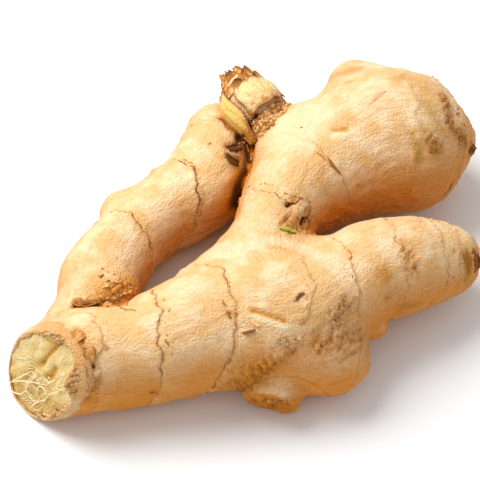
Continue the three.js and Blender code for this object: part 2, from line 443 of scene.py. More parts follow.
MARKS = [
    # the gouge on the front limb, its ochre upper edge, its pale floor and the torn spot below
    Mark((0.6, -41.9, 31.9), (9.4, -44.7, 30.7), 0.8, -0.75, amber=1),
    Mark((1.2, -43.6, 31.3), (9.8, -46.2, 29.6), 1, 0.3, pale=0.9),
    Mark((7.5, -48.5, 27.4), (13, -47.8, 26.5), 1.4, 0.35, brown=0.35, pale=0.6, rough=1),
    # the fibrous ridge that runs down to the side knob
    Mark((10.8, -49.5, 25), (3.1, -53.5, 19.2), 0.8, 0.65, brown=0.3, rough=1),
    Mark((3.1, -53.5, 19.2), (-0.7, -53.4, 10.4), 0.9, 0.55, brown=0.35, rough=1),
    Mark((11.9, -49.2, 24.2), (4.2, -53.6, 18.4), 0.45, -0.5, brown=0.9),
    # rough skin left of the knob, its amber partly painted shade
    Mark((4, -52, 21), (-6, -53, 12), 3.6, brown=0.1, amber=0.5, rough=1.2),
    # spots along the front limb
    Mark((12.5, -39.4, 33.2), (14.2, -37.7, 33.8), 0.75, -0.2, brown=0.9),
    Mark((-6.3, -42.5, 31.9), (-5.6, -42.8, 31.8), 0.7, -0.2, brown=0.95),
    Mark((-40.4, -50.8, 27.8), (-39.8, -51.2, 27.6), 0.8, 0.25, brown=0.55, rough=0.6),
    Mark((-28, -57.2, 14.9), (-27, -57.3, 14.9), 0.6, brown=0.95),
    Mark((-38, -57.5, 11.5), (-24, -57, 12), 2.4, amber=0.6),
    # round the cut end: a brown scab, the ragged zone beside it and the orange tint above it
    Mark((-44.2, -54.4, 24.2), (-43.2, -54.8, 23.8), 0.9, -0.5, brown=1),
    Mark((-48.6, -47.2, 27.6), (-46, -52.5, 26.4), 1.7, 0.2, brown=0.12, amber=0.4, rough=1),
    Mark((-46, -52.5, 26.4), (-45.6, -56.8, 23), 1.7, 0.2, brown=0.2, amber=0.5, rough=1.2),
    Mark((-45.6, -56.8, 23), (-45.8, -60.2, 16.5), 1.7, 0.2, brown=0.2, amber=0.5, rough=1.2),
    Mark((-56, -37.5, 18.5), (-48.5, -34, 20), 2.6, amber=0.5),
    # the torn mouth of the side knob and the rough heel
    Mark((2, -56.4, 6.4), (9.5, -57.6, 6.4), 4.2, brown=0.25, amber=0.4, rough=1.3),
    Mark((4, -57, 8.6), (9.8, -58.3, 8.8), 0.7, -1.2, brown=1),
    Mark((0.4, -55.9, 6.8), (4, -57, 8.6), 0.5, -0.8, brown=0.9),
    Mark((1.6, -55.8, 4), (9.4, -57.4, 4.8), 0.5, -0.7, brown=0.9),
    Mark((1.4, -56, 5.6), (9.8, -57.8, 6.6), 0.55, 0.6, amber=0.5),
    Mark((0.8, -56.4, 9), (8.6, -58.2, 10.6), 0.5, 0.45, pale=0.2),
    Mark((3.6, -53, 15), (10.4, -53.6, 14.6), 3.6, brown=0.1, amber=0.3),
    Mark((23.4, -41.4, 28.1), (26.3, -37.7, 29.2), 2.8, brown=0.3, rough=1),
    Mark((19.2, -46.6, 24.9), (28.1, -42.2, 18.9), 4.5, brown=0.1, amber=0.2, rough=0.9),
    Mark((22.9, -43.9, 25.4), (23.2, -43.9, 25.2), 0.6, pale=1),
    Mark((24, -48.5, 18), (28, -46, 18.6), 0.5, -0.35, brown=0.7),
    # the short finger: a soft stain, dots below it, the scar at its tip
    Mark((37.3, -27.3, 29.3), (38.3, -26.9, 29.2), 2.9, amber=0.95),
    Mark((38.5, -31.5, 24.4), (39.3, -31.3, 24.2), 0.9, brown=0.6),
    Mark((44.6, -28.8, 17.7), (47.9, -28, 17.1), 1.6, amber=0.8, brown=0.35),
    Mark((43.4, -17.4, 31.1), (46.5, -23.5, 27.6), 2.4, brown=0.12, rough=0.9),
    Mark((62.4, -14.5, 22.8), (63.6, -16.8, 18), 1.3, -0.55, olive=1, brown=0.15),
    Mark((63.8, -18.3, 15.5), (64.6, -17.6, 13.5), 1.5, olive=0.7),
    Mark((66.4, -12, 20.4), (67, -14, 16.4), 1.2, brown=0.75, rough=0.6),
    # the neck: two torn notches with a bridge of skin between, rough skin below them
    Mark((11, -2.4, 31.3), (13.4, -0.1, 31.3), 0.8, -1.7, brown=1),
    Mark((15.3, -5.6, 26.8), (17.3, -1.2, 27.7), 0.85, -1.7, brown=1),
    Mark((13.8, -3.4, 29.8), (16.4, -0.6, 29), 0.8, 0.35, pale=0.5),
    Mark((11, -8, 29.6), (16.1, -8.4, 24.4), 3.2, brown=0.18, amber=0.3, rough=1),
    Mark((9.8, -20.4, 31.6), (5.8, -19.6, 32.2), 1, -0.3, amber=0.5),
    # the big lobe: the oval scar with the dent above it, and a painted highlight on the shoulder by the
    # bud
    Mark((25.4, 20, 36.8), (27.6, 20.2, 36.8), 1.3, 0.3, pale=1),
    Mark((25.2, 22.1, 37.3), (28.6, 22, 37.4), 0.75, -0.75, amber=1),
    Mark((21.5, 24.5, 37), (29, 25.5, 39), 2.2, amber=0.35),
    # painted highlight: a broad pale patch on the shoulder beside the bud
    Mark((11, 26, 34), (20, 29, 37), 6.5, pale=0.65),
    # its olive band, its gnarled end and tip, the crown knob, and fine lines on its top
    Mark((48.5, 21.2, 36.2), (50.5, 16.5, 30.5), 1.2, olive=0.85),
    Mark((52, 31, 39.3), (57.2, 24.3, 34.2), 2.2, olive=0.5, amber=0.3),
    Mark((46.3, 39.1, 41), (52.5, 37.1, 39.4), 3.6, amber=0.45),
    Mark((53.6, 21.8, 34), (56.1, 19.9, 31), 1.9, 0.2, brown=0.4, olive=0.3, rough=1),
    Mark((58.5, 35.8, 37), (60.3, 27, 34), 1.7, 0.2, brown=0.65, rough=1),
    Mark((62.5, 27, 31), (64.8, 25.7, 27.9), 1.9, brown=0.5, rough=1),
    Mark((66.8, 27.6, 23.4), (68.6, 31, 19), 1.7, brown=0.95, rough=0.8),
    Mark((61.6, 18.3, 19.4), (60.3, 17.5, 14.9), 0.9, -0.3, brown=0.95),
    Mark((64, 21, 22.5), (62.8, 19.5, 20.5), 0.8, olive=0.9),
    Mark((55.3, 49.5, 32.8), (58.9, 47.2, 33), 1.3, brown=0.6, rough=0.9),
    Mark((28.5, 49.5, 31), (34, 47, 36), 3, brown=0.18, amber=0.25, rough=0.5),
    Mark((29.4, 41, 38), (31.2, 40.6, 38.8), 0.45, -0.2, brown=0.6),
    Mark((36, 29.2, 41), (37.6, 30.8, 41.4), 0.5, -0.2, brown=0.4),
    Mark((37.6, 30.8, 41.4), (41, 33.8, 42), 0.5, -0.2, brown=0.4),
    # the left arm: two dark wounds by the bud, small specks, the torn fold at its foot and its painted
    # shadow
    Mark((-6.7, 26.3, 26), (-3.4, 28.1, 25.2), 1.25, -0.9, brown=1),
    Mark((-6.7, 23.4, 25.3), (-3.4, 22.2, 23.4), 1.25, -0.7, brown=1),
    Mark((-12.4, 26.4, 26.8), (-12, 26.4, 26.8), 0.45, brown=1),
    Mark((-9.5, 22, 25.9), (-8.7, 21.8, 25.7), 0.8, amber=0.8),
    Mark((-49.6, -31, 21.2), (-44.4, -30.9, 21.6), 1.3, 1.2, amber=0.4),
    # painted shadow: dark brown in the dip under the torn fold
    Mark((-50, -32.4, 20.4), (-46.8, -33.3, 20.6), 1, -1.2, brown=1),
    Mark((-46.8, -33.3, 20.6), (-43.4, -32, 21), 1, -1, brown=1),
    Mark((-41.9, -29.4, 21.7), (-35.5, -23.5, 20), 3.4, amber=0.7, rough=1),
    Mark((-48, -22, 22.5), (-42, -26, 23), 3, amber=0.35),
    # the crevice round the foot of the bud: brown debris darkened with painted shade
    Mark((-3, 30.3, 25.6), (-0.8, 32.1, 28.2), 1.5, -0.9, brown=1),
    Mark((-1.4, 30.6, 26), (0.6, 24, 21), 1.7, brown=1),
    # painted shade where the gold scale meets the left arm
    Mark((-9, 37.4, 25), (-4, 31, 25), 1.7, brown=0.85),
    Mark((-0.8, 32.1, 28.2), (1.9, 32.8, 32.4), 1.1, -0.7, brown=0.95),
    Mark((1.9, 32.8, 32.4), (9.2, 38.4, 33.6), 0.9, -0.6, brown=0.9),
]


@dataclass
class Field:
    """The root's field on a regular grid, and the surface where it is zero.

    cell is the grid's spacing and margin is the room round the root. Each limb's distances are
    worked out within spill of it, and far from every limb the field is open. crease is the width
    over which the fork's two sides meet. low is the grid's lowest corner, and grown and values
    are the field before and after the cuts.
    """

    cell: float = 1.46
    margin: float = 3.0
    spill: float = 12.0
    open: float = 40.0
    crease: float = 0.6
    low: Array = field(init=False)
    grown: Array = field(init=False)
    values: Array = field(init=False)

    def fill(self, pieces: list[Limb]) -> None:
        """Works the field out on a coarse grid, each limb only near itself.

        Args:
            pieces: The limbs and knobs, in the order in which they flow together.
        """
        boxes = [p.reach(self.margin) for p in pieces]
        self.low = np.min([b[0] for b in boxes], axis=0)
        high = np.max([b[1] for b in boxes], axis=0)
        counts = np.ceil((high - self.low) / self.cell).astype(int) + 1
        grid = np.stack(self._grid(counts), -1).astype(np.float32)
        sides = {Fork.LEFT: None, Fork.RIGHT: None}
        for side in sides:
            grown = np.full(grid.shape[:3], self.open, np.float32)
            for piece in pieces:
                if piece.fork not in (side, Fork.BOTH):
                    continue
                low, high = piece.reach(self.spill)
                first = np.clip(((low - self.low) / self.cell).astype(int), 0, counts - 1)
                last = np.clip(np.ceil((high - self.low) / self.cell).astype(int) + 1, 1, counts)
                part = tuple(slice(a, b) for a, b in zip(first, last))
                gap, now = piece.distance(grid[part]), grown[part]
                grown[part] = flow(now, gap, piece.blend) if piece.blend else np.minimum(now, gap)
            sides[side] = grown
        self.grown = flow(sides[Fork.LEFT], sides[Fork.RIGHT], self.crease).astype(np.float32)
        log.info("field: %s", ", ".join(piece.name for piece in pieces))

    def _grid(self, counts: Array, sparse: bool = False) -> list[Array]:
        """Gives the x, y and z of the grid's points."""
        axes = [low + self.cell * np.arange(count) for low, count in zip(self.low, counts)]
        return np.meshgrid(*axes, indexing="ij", sparse=sparse)

    def refine(self) -> None:
        """Halves the cell. A new value between b and c is 9/16 of b + c less 1/16 of a + d."""
        f = self.grown
        for axis in range(3):
            f = np.moveaxis(f, axis, 0)
            pad = np.concatenate([f[:1], f, f[-1:]])
            between = (9 * (pad[1:-2] + pad[2:-1]) - (pad[:-3] + pad[3:])) / 16
            fine = np.empty((2 * len(f) - 1, *f.shape[1:]), np.float32)
            fine[::2], fine[1::2] = f, between
            f = np.moveaxis(fine, 0, axis)
        self.grown = np.ascontiguousarray(f)
        self.cell /= 2

    def trim(self, cuts: list[Cut], sunk: float) -> None:
        """Cuts the field off below the table, and beyond each cut within its reach.

        Args:
            cuts: The flat faces.
            sunk: How far below each cut the skin's own surface stops.
        """
        grid = self._grid(self.grown.shape, sparse=True)
        self.values = np.maximum(self.grown, -grid[2]).astype(np.float32)
        for cut in cuts:
            point, _, _, normal = cut.axes()
            x, y, z = (axis - p for axis, p in zip(grid, point))
            beyond = x * normal[0] + y * normal[1] + z * normal[2] + sunk
            near = x**2 + y**2 + z**2 < cut.reach**2
            self.values = np.where(near, np.maximum(self.values, beyond), self.values)

    def sample(self, points: Array) -> Array:
        """Reads the untrimmed field at points, in a straight line between its eight neighbours."""
        at = (points - self.low) / self.cell
        at = np.clip(at, 0, np.array(self.grown.shape) - 1.001)
        whole = at.astype(int)
        part = at - whole
        total = np.zeros(points.shape[:-1])
        for corner in product((0, 1), repeat=3):
            weight = np.prod(np.where(corner, part, 1 - part), axis=-1)
            total += weight * self.grown[tuple(np.moveaxis(whole + corner, -1, 0))]
        return total

    def surface(self) -> tuple[Array, Array]:
        """Draws the zero surface.

        Every cell that the surface passes through gets one point, at the mean of where the surface
        crosses the cell's edges. Every grid edge that it crosses gets one four-sided face, between
        the four cells round that edge, turned so that it faces out.

        Returns:
            Points as rows, and faces as rows of four point numbers.
        """
        inside = self.values < 0
        shape = np.array(inside.shape) - 1
        corners = list(product((0, 1), repeat=3))
        count = np.zeros(shape, np.int8)
        for c in corners:
            count += inside[tuple(slice(c[i], c[i] + shape[i]) for i in range(3))]
        active = (count > 0) & (count < 8)
        cells = np.argwhere(active)
        number = np.full(active.shape, -1, np.int64)
        number[active] = np.arange(len(cells))
        points = self.low + self.cell * (cells + self._crossing(cells, corners))
        faces = []
        for axis in range(3):
            along = np.moveaxis(inside, axis, 0)
            edges = np.argwhere(along[:-1] != along[1:])
            edges = np.insert(edges[:, 1:], axis, edges[:, 0], axis=1)
            u, v = (axis + 1) % 3, (axis + 2) % 3
            sides = edges[:, [u, v]]
            edges = edges[((sides > 0) & (sides < shape[[u, v]])).all(1)]
            quad = []
            for du, dv in ((1, 1), (0, 1), (0, 0), (1, 0)):
                at = edges.copy()
                at[:, u] -= du
                at[:, v] -= dv
                quad.append(number[tuple(at.T)])
            quad = np.stack(quad, -1)
            turned = inside[tuple((edges + np.eye(3, dtype=int)[axis]).T)]
            quad[turned] = quad[turned][:, ::-1]
            faces.append(quad)
        return points, np.vstack(faces)

    def _crossing(self, cells: Array, corners: list[tuple[int, ...]]) -> Array:
        """Gives the mean of where the surface crosses the edges of each cell, in cell widths."""
        total, crossings = np.zeros((len(cells), 3)), np.zeros(len(cells))
        for axis, c in product(range(3), corners):
            if c[axis]:
                continue
            d = tuple(1 if i == axis else c[i] for i in range(3))
            fa = self.values[tuple((cells + c).T)]
            fb = self.values[tuple((cells + d).T)]
            hit = (fa < 0) != (fb < 0)
            t = np.where(hit, fa / np.where(hit, fa - fb, 1), 0)
            p = np.tile(np.array(c, float), (len(cells), 1))
            p[:, axis] += t
            total += np.where(hit[:, None], p, 0)
            crossings += hit
        return total / crossings[:, None]


def point_normals(points: Array, faces: Array) -> Array:
    """Gives each point the mean direction of its four-sided faces, weighted by their area."""
    one = points[faces[:, 2]] - points[faces[:, 0]]
    other = points[faces[:, 3]] - points[faces[:, 1]]
    cross = np.cross(one, other)
    normals = np.zeros_like(points)
    for corner, i in product(range(4), range(3)):
        normals[:, i] += np.bincount(faces[:, corner], cross[:, i], len(points))
    return unit(normals)


def spread(values: Array, faces: Array) -> Array:
    """Gives each point the mean of its neighbours' values, which are rows or single numbers."""
    rows = values.reshape(len(values), -1)
    edges = np.vstack([faces[:, [i, (i + 1) % 4]] for i in range(4)])
    count = np.maximum(np.bincount(edges[:, 0], minlength=len(rows)), 1)
    sums = [np.bincount(edges[:, 0], row[edges[:, 1]], len(rows)) for row in rows.T]
    return (np.stack(sums, -1) / count[:, None]).reshape(values.shape)


def relax(points: Array, faces: Array, share: float, rounds: int) -> Array:
    """Moves each point a share of the way to the mean of its neighbours, then half of it back."""
    for step in [share, -0.52 * share] * rounds:
        points = points + step * (spread(points, faces) - points)
    return points


def link(name: str, data: bpy.types.ID) -> bpy.types.Object:
    """Makes an object from its data and links it to the scene, at the origin."""
    made = bpy.data.objects.new(name, data)
    bpy.context.collection.objects.link(made)
    return made


def make_piece(
    name: str, shape: Shape, finish: Material, values: Values | None = None
) -> bpy.types.Object:
    """Makes a smooth-shaded object from points in millimetres, and lets it ride with the root.

    Args:
        name: The piece's name.
        shape: Points as rows, and faces as lists of point numbers.
        finish: The material.
        values: Numbers, or rows of three, to store for each point, by attribute name.

    Returns:
        The new object, linked to the scene, at the origin.
    """
    points, faces = shape
    mesh = bpy.data.meshes.new(name)
    placed = (np.asarray(points) - RECENTRE) * MM
    rows = faces.tolist() if isinstance(faces, Array) else faces
    mesh.from_pydata(placed.tolist(), [], rows)
    mesh.polygons.foreach_set("use_smooth", np.ones(len(mesh.polygons), bool))
    for key, value in (values or {}).items():
        vector = value.ndim == 2
        layer = mesh.attributes.new(key, "FLOAT_VECTOR" if vector else "FLOAT", "POINT")
        layer.data.foreach_set("vector" if vector else "value", value.astype(np.float32).ravel())
    mesh.materials.append(finish)
    mesh.update()
    piece = link(name, mesh)
    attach(piece, BODY)
    log.info("%s: %d points, %d faces", name, len(mesh.vertices), len(mesh.polygons))
    return piece


@dataclass
class RootSkin:
    """The whole skin of the root, from the cut end to the tips.

    lump is the height of the broad swellings as a share of the radius, wrinkle and pucker are the
    heights of the long wrinkles and of the finer ones in millimetres, and gnarl is how far the
    rough spots stand up. evened is how many rounds the places along the limbs are evened out.
    The relief fades in over table millimetres above the base, and a band of edge to each side of
    the cut has none.
    feelers are how far out a point looks for another part of the root. cleared is how much nearer
    than the next a limb has to be for its rings to show in full, and shared is the width over
    which the limbs' heights mix. bowl turns a hollow's depth into its value.
    """

    root: Field
    lump: float = 0.022
    wrinkle: float = 0.08
    pucker: float = 0.065
    gnarl: float = 0.42
    evened: int = 14
    table: float = 1.2
    edge: float = 0.4
    feelers: tuple = (3.0, 6.0, 10.0)
    cleared: float = 2.5
    shared: float = 0.9
    bowl: float = 14.0

    def build(self, finish: Material) -> tuple[Array, Array]:
        """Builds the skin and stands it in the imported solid's place.

        Args:
            finish: The skin's material.

        Returns:
            The skin's points and its four-sided faces.
        """
        points, faces = self.root.surface()
        points = relax(points, faces, 0.5, 2)
        normals = point_normals(points, faces)
        values = self.marks(points, normals, Ground(points, faces))
        height, grown = self.relief(points, faces, values)
        values.update(grown)
        kept = ease(points[:, 2] / self.table)
        middle, _, _, facing = CUT.axes()
        over = (points - middle) @ facing + SUNK
        near = np.linalg.norm(points - middle, axis=1) < CUT.reach
        kept[(np.abs(over) < self.edge) & near] = 0
        points = points + normals * (height * kept)[:, None]
        points[:, 2] = np.maximum(points[:, 2], 0)
        normals = point_normals(points, faces)
        bowl = np.einsum("ij,ij->i", spread(points, faces) - points, normals)
        # how hollow each point is; the skin's finish paints shade in the hollows by it
        values["hollow"] = np.clip(spread(spread(bowl, faces), faces) * self.bowl, -1, 1)
        piece = make_piece("ginger_skin", (points, faces), finish, values)
        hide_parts(NODE)
        return points, faces

    def marks(self, points: Array, normals: Array, ground: "Ground") -> Values:
        """Works out the tints and heights of the marks, and how shut in each point is.

        A point is shut in where the field, read at each feeler's distance out along its normal, is
        less than that distance, because another part of the root stands there.

        Args:
            points: Points as rows.
            normals: Their normals.
            ground: The skin before its relief, on which the marks are set.

        Returns:
            One number for each point, by name.
        """
        names = ("brown", "amber", "olive", "pale", "rough")
        values = {name: np.zeros(len(points)) for name in (*names, "pit")}
        for mark in MARKS:
            strength = mark.settled(ground).strength(points)
            values["pit"] += mark.height * strength
            for name in names:
                kept = 1 - values[name]
                values[name] = 1 - kept * (1 - getattr(mark, name) * strength)
        shut = np.zeros(len(points))
        for out in self.feelers:
            filled = np.clip(1 - self.root.sample(points + normals * out) / out, 0, 1)
            shut += filled / len(self.feelers)
        # how shut in each point is; the skin's finish paints shade in the creases by it
        values["shut"] = shut
        # how far the skin turns from facing up; the skin's finish paints flank shade by it
        values["lean"] = 1 - normals[:, 2]
        return values

    def relief(self, points: Array, faces: Array, values: Values) -> tuple[Array, Values]:
        """Works out how far the skin stands out, and where the rings and the grain run.

        Each limb gives a height, and the heights are mixed by how near each limb is. At a ring the
        older skin ends in a lip, and the younger skin starts lower and comes back over 7 mm. The
        places along the limbs are evened out first, because they jump between a spine's links.

        Args:
            points: Points as rows.
            faces: The skin's four-sided faces.
            values: The marks' values for each point.

        Returns:
            The height for each point, and the values of the rings and the grain by name.
        """
        places = [limb.place(points) for limb in GRAINED]
        gaps = np.stack([p["gap"] for p in places])
        nearest = gaps.argmin(0)
        ordered = np.sort(gaps, axis=0)
        clear = ease((ordered[1] - ordered[0]) / self.cleared)
        weights = np.exp(-(gaps - gaps.min(0)) / self.shared)
        weights /= weights.sum(0)
        height = np.zeros(len(points))
        scar = np.full(len(points), NO_RING)
        dark, young = np.zeros(len(points)), np.zeros(len(points))
        grain = np.zeros((len(points), 3))
        for number, (limb, place, weight) in enumerate(zip(GRAINED, places, weights)):
            here = np.stack([place[key] for key in ("along", "side", "rise")], -1)
            for _ in range(self.evened):
                here = spread(here, faces)
            along, angle = here[:, 0], np.arctan2(here[:, 2], here[:, 1])
            swell = np.sin(3 * angle + 0.11 * along) + np.sin(2 * angle - 0.07 * along + 1.3)
            rise = self.lump * place["radius"] * swell
            folds = 0.4 + 1.1 * np.clip(values["lean"], 0, 1) + 0.8 * values["rough"]
            rise += self.wrinkle * folds * ripples(here, (2.6, 4.5), (14, 34), 11 + number)
            rise += self.pucker * folds * ripples(here, (4.5, 9), (4.5, 11), 31 + number)
            closest = np.full(len(points), NO_RING)
            mine = nearest == number
            for ring in limb.rings:
                past, shows = along - ring.line(angle), ring.shows(angle)
                rise += shows * ring.profile(past)
                closer = (np.abs(past) < np.abs(closest)) & (shows > 0.02)
                closest = np.where(closer, past, closest)
                dark = np.where(closer & mine, ring.dark * shows * clear, dark)
                fresh = np.where(past > 0, np.exp(-past / 6), 0) * shows * ring.dark
                young = np.where(mine, np.maximum(young, fresh * clear), young)
            height += weight * rise
            scar[mine] = closest[mine]
            grain[mine] = here[mine]
        gnarled = ripples(points, (1.8, 3.2), (1.8, 3.2), 5) * np.clip(values["rough"], 0, 1)
        height += values["pit"] + self.gnarl * gnarled
        return height, dict(scar=scar, dark=dark, young=young, clear=clear, grain=grain)


@dataclass
class Graph:
    """A short way to write a node tree."""

    tree: bpy.types.NodeTree

    def put(self, socket: Socket, value: object) -> None:
        """Links a socket to another one, or sets its value."""
        if isinstance(value, Socket):
            self.tree.links.new(value, socket)
        else:
            socket.default_value = value

    def add(self, kind: str, settings: dict | None = None, **inputs: object) -> bpy.types.Node:
        """Adds a node.

        Args:
            kind: The node's type, less its first word.
            settings: The node's own settings.
            **inputs: What each input holds, with _ in place of a space in its name.

        Returns:
            The node.
        """
        node = self.tree.nodes.new("ShaderNode" + kind)
        for key, value in (settings or {}).items():
            setattr(node, key, value)
        for key, value in inputs.items():
            self.put(node.inputs[key.replace("_", " ")], value)
        return node

    def sum(self, way: str, *values: object) -> Socket:
        """Adds a math node, held between 0 and 1 where the way ends in an exclamation mark."""
        node = self.add("Math", {"operation": way.rstrip("!"), "use_clamp": way.endswith("!")})
        for socket, value in zip(node.inputs, values):
            self.put(socket, value)
        return node.outputs[0]

    def times(self, a: object, b: object) -> Socket:
        """Multiplies two values."""
        return self.sum("MULTIPLY", a, b)

    def plus(self, a: object, b: object) -> Socket:
        """Adds two values."""
        return self.sum("ADD", a, b)

    def scaled(self, value: object, slope: float, start: float) -> Socket:
        """Gives a value times a slope, plus a start."""
        return self.plus(self.times(value, slope), start)

    def step(self, value: object, low: float, high: float) -> Socket:
        """Turns low to high into 0 to 1 along a smooth step."""
        settings = {"interpolation_type": "SMOOTHSTEP"}
        return self.add("MapRange", settings, Value=value, From_Min=low, From_Max=high).outputs[0]

    def mix(self, share: object, a: object, b: object) -> Socket:
        """Mixes two colours."""
        node = self.add("Mix", {"data_type": "RGBA"})
        for number, value in ((0, share), (6, a), (7, b)):
            self.put(node.inputs[number], value)
        return node.outputs[2]

    def paint(self, colour: object, *layers: tuple[object, float, Colour]) -> Socket:
        """Lays colours over a colour, each by its mask times the most that it covers."""
        for mask, most, over in layers:
            colour = self.mix(self.times(mask, most), colour, over)
        return colour

    def noise(self, at: object, scale: float, detail: float = 2.0) -> Socket:
        """Adds noise between 0 and 1 whose spots are about 1 / scale wide."""
        return self.add("TexNoise", Vector=at, Scale=scale, Detail=detail).outputs[0]

    def value(self, name: str, part: str = "Fac") -> Socket:
        """Reads an attribute of the piece's points."""
        return self.add("Attribute", {"attribute_name": name}).outputs[part]

    def stretch(self, at: object, scale: Point) -> Socket:
        """Multiplies a position by a scale for each direction."""
        node = self.add("VectorMath", {"operation": "MULTIPLY"})
        self.put(node.inputs[0], at)
        self.put(node.inputs[1], scale)
        return node.outputs[0]

    def use(self, name: str, **inputs: object) -> dict[str, Socket]:
        """Puts in a shared node group and gives its outputs by name."""
        node = self.add("Group", {"node_tree": bpy.data.node_groups[name]}, **inputs)
        return {s.name: s for s in node.outputs}

    def place(self) -> Socket:
        """Gives the position in the piece's own frame, in millimetres."""
        at = self.add("TexCoord").outputs["Object"]
        return self.stretch(at, (1 / MM,) * 3)

    def bump(self, height: object, strength: float, depth: float) -> Socket:
        """Turns a height from 0 to 1 into a normal, for a depth in millimetres."""
        return self.add("Bump", Height=height, Strength=strength, Distance=depth * MM).outputs[0]


def make_group(name: str, given: str, results: tuple[str, ...]) -> tuple[Graph, dict]:
    """Makes a node group that turns one vector into numbers.

    Args:
        name: The group's name.
        given: The name of its input.
        results: The names of its outputs.

    Returns:
        The group's graph, and its sockets inside by name.
    """
    group = bpy.data.node_groups.new(name, "ShaderNodeTree")
    group.interface.new_socket(given, in_out="INPUT", socket_type="NodeSocketVector")
    for key in results:
        group.interface.new_socket(key, in_out="OUTPUT", socket_type="NodeSocketFloat")
    inner = {s.name: s for s in group.nodes.new("NodeGroupInput").outputs}
    inner |= {s.name: s for s in group.nodes.new("NodeGroupOutput").inputs}
    return Graph(group), inner


def mottle_group() -> None:
    """Makes the group that gives broad patches, fine specks and grit, shared by every finish."""
    g, inner = make_group("mottle", "At", ("Patch", "Speck", "Grit"))
    at = inner["At"]
    g.put(inner["Patch"], g.step(g.noise(at, 0.13, 3.0), 0.38, 0.64))
    g.put(inner["Speck"], g.step(g.noise(at, 0.75, 2.0), 0.62, 0.74))
    g.put(inner["Grit"], g.noise(at, 1.6, 4.0))


def fibre_group() -> None:
    """Makes the group that gives fine lines along the grain, shared by the skin and the scales.

    Its Crest is the height of the lines and its Line is where the dark threads between them run.
    """
    g, inner = make_group("fibre", "Grain", ("Crest", "Line"))
    long = g.stretch(inner["Grain"], (0.36, 1.0, 1.0))
    waves = g.noise(long, 0.62, 3.0)
    threads = g.noise(long, 1.5, 2.0)
    g.put(inner["Crest"], g.plus(g.times(waves, 0.6), g.times(threads, 0.4)))
    thin = g.sum("ABSOLUTE", g.sum("SUBTRACT", waves, 0.5))
    g.put(inner["Line"], g.sum("SUBTRACT!", 1.0, g.times(thin, 22.0)))


@dataclass(frozen=True)
class Glow:
    """How light spreads under a surface: how much, how far in each colour, and 1 in millimetres."""

    weight: float = 0.0
    radius: Point = (1.0, 0.2, 0.1)
    scale: float = 1.0


def new_material(
    name: str, colour: Colour, rough: float, shine: float = 0.5, glow: Glow = Glow()
) -> tuple[Material, Graph, dict]:
    """Makes a material with one shader.

    Args:
        name: The material's name.
        colour: Its plain colour.
        rough: Its roughness.
        shine: How strong its highlights are, 0.5 being usual.
        glow: How light spreads under its surface.

    Returns:
        The material, its graph and the shader's inputs.
    """
    material = bpy.data.materials.new(name)
    material.use_nodes = True
    material.diffuse_color = colour
    inputs = material.node_tree.nodes["Principled BSDF"].inputs
    inputs["Base Color"].default_value = colour
    inputs["Roughness"].default_value = rough
    inputs["Specular IOR Level"].default_value = shine
    inputs["Subsurface Weight"].default_value = glow.weight
    inputs["Subsurface Radius"].default_value = glow.radius
    inputs["Subsurface Scale"].default_value = glow.scale * MM
    return material, Graph(material.node_tree), inputs


def rgb(red: float, green: float, blue: float) -> Colour:
    """Turns the red, green and blue of a screen colour, 0 to 255, into a shader's colour."""
    parts = [c / 255 for c in (red, green, blue)]
    linear = [c / 12.92 if c < 0.04045 else ((c + 0.055) / 1.055) ** 2.4 for c in parts]
    return (*linear, 1.0)


@dataclass(frozen=True)
class Finish:
    """A finish: its name, its plain colour, its roughness, its highlights and its glow.

    polish is how much smoother than rough it is where the grit is at its least, or 0 where the
    grit leaves it alone. fine is how many times finer than on the skin its mottle is.
    """

    name: str
    colour: Colour
    rough: float = 0.5
    polish: float = 0.15
    shine: float = 0.5
    glow: Glow = Glow()
    fine: float = 1.0

    def material(self) -> Material:
        """Builds the material, with a finish's own colours and bumps on the shared mottle.

        Returns:
            The material.
        """
        parts = new_material(self.name, self.colour, self.rough, self.shine, self.glow)
        material, g, inputs = parts
        at = g.place()
        spots = g.use("mottle", At=g.stretch(at, (self.fine,) * 3))
        if self.polish:
            g.put(inputs["Roughness"], g.scaled(spots["Grit"], 0.3, self.rough - self.polish))
        self.dress(g, inputs, at, spots)
        return material

    def dress(self, g: Graph, inputs: dict, at: Socket, spots: dict) -> None:
        """Adds a finish's own colours and bumps. A plain one has none.

        Args:
            g: The material's graph.
            inputs: The shader's inputs.
            at: The position in millimetres.
            spots: The mottle's Patch, Speck and Grit there.
        """


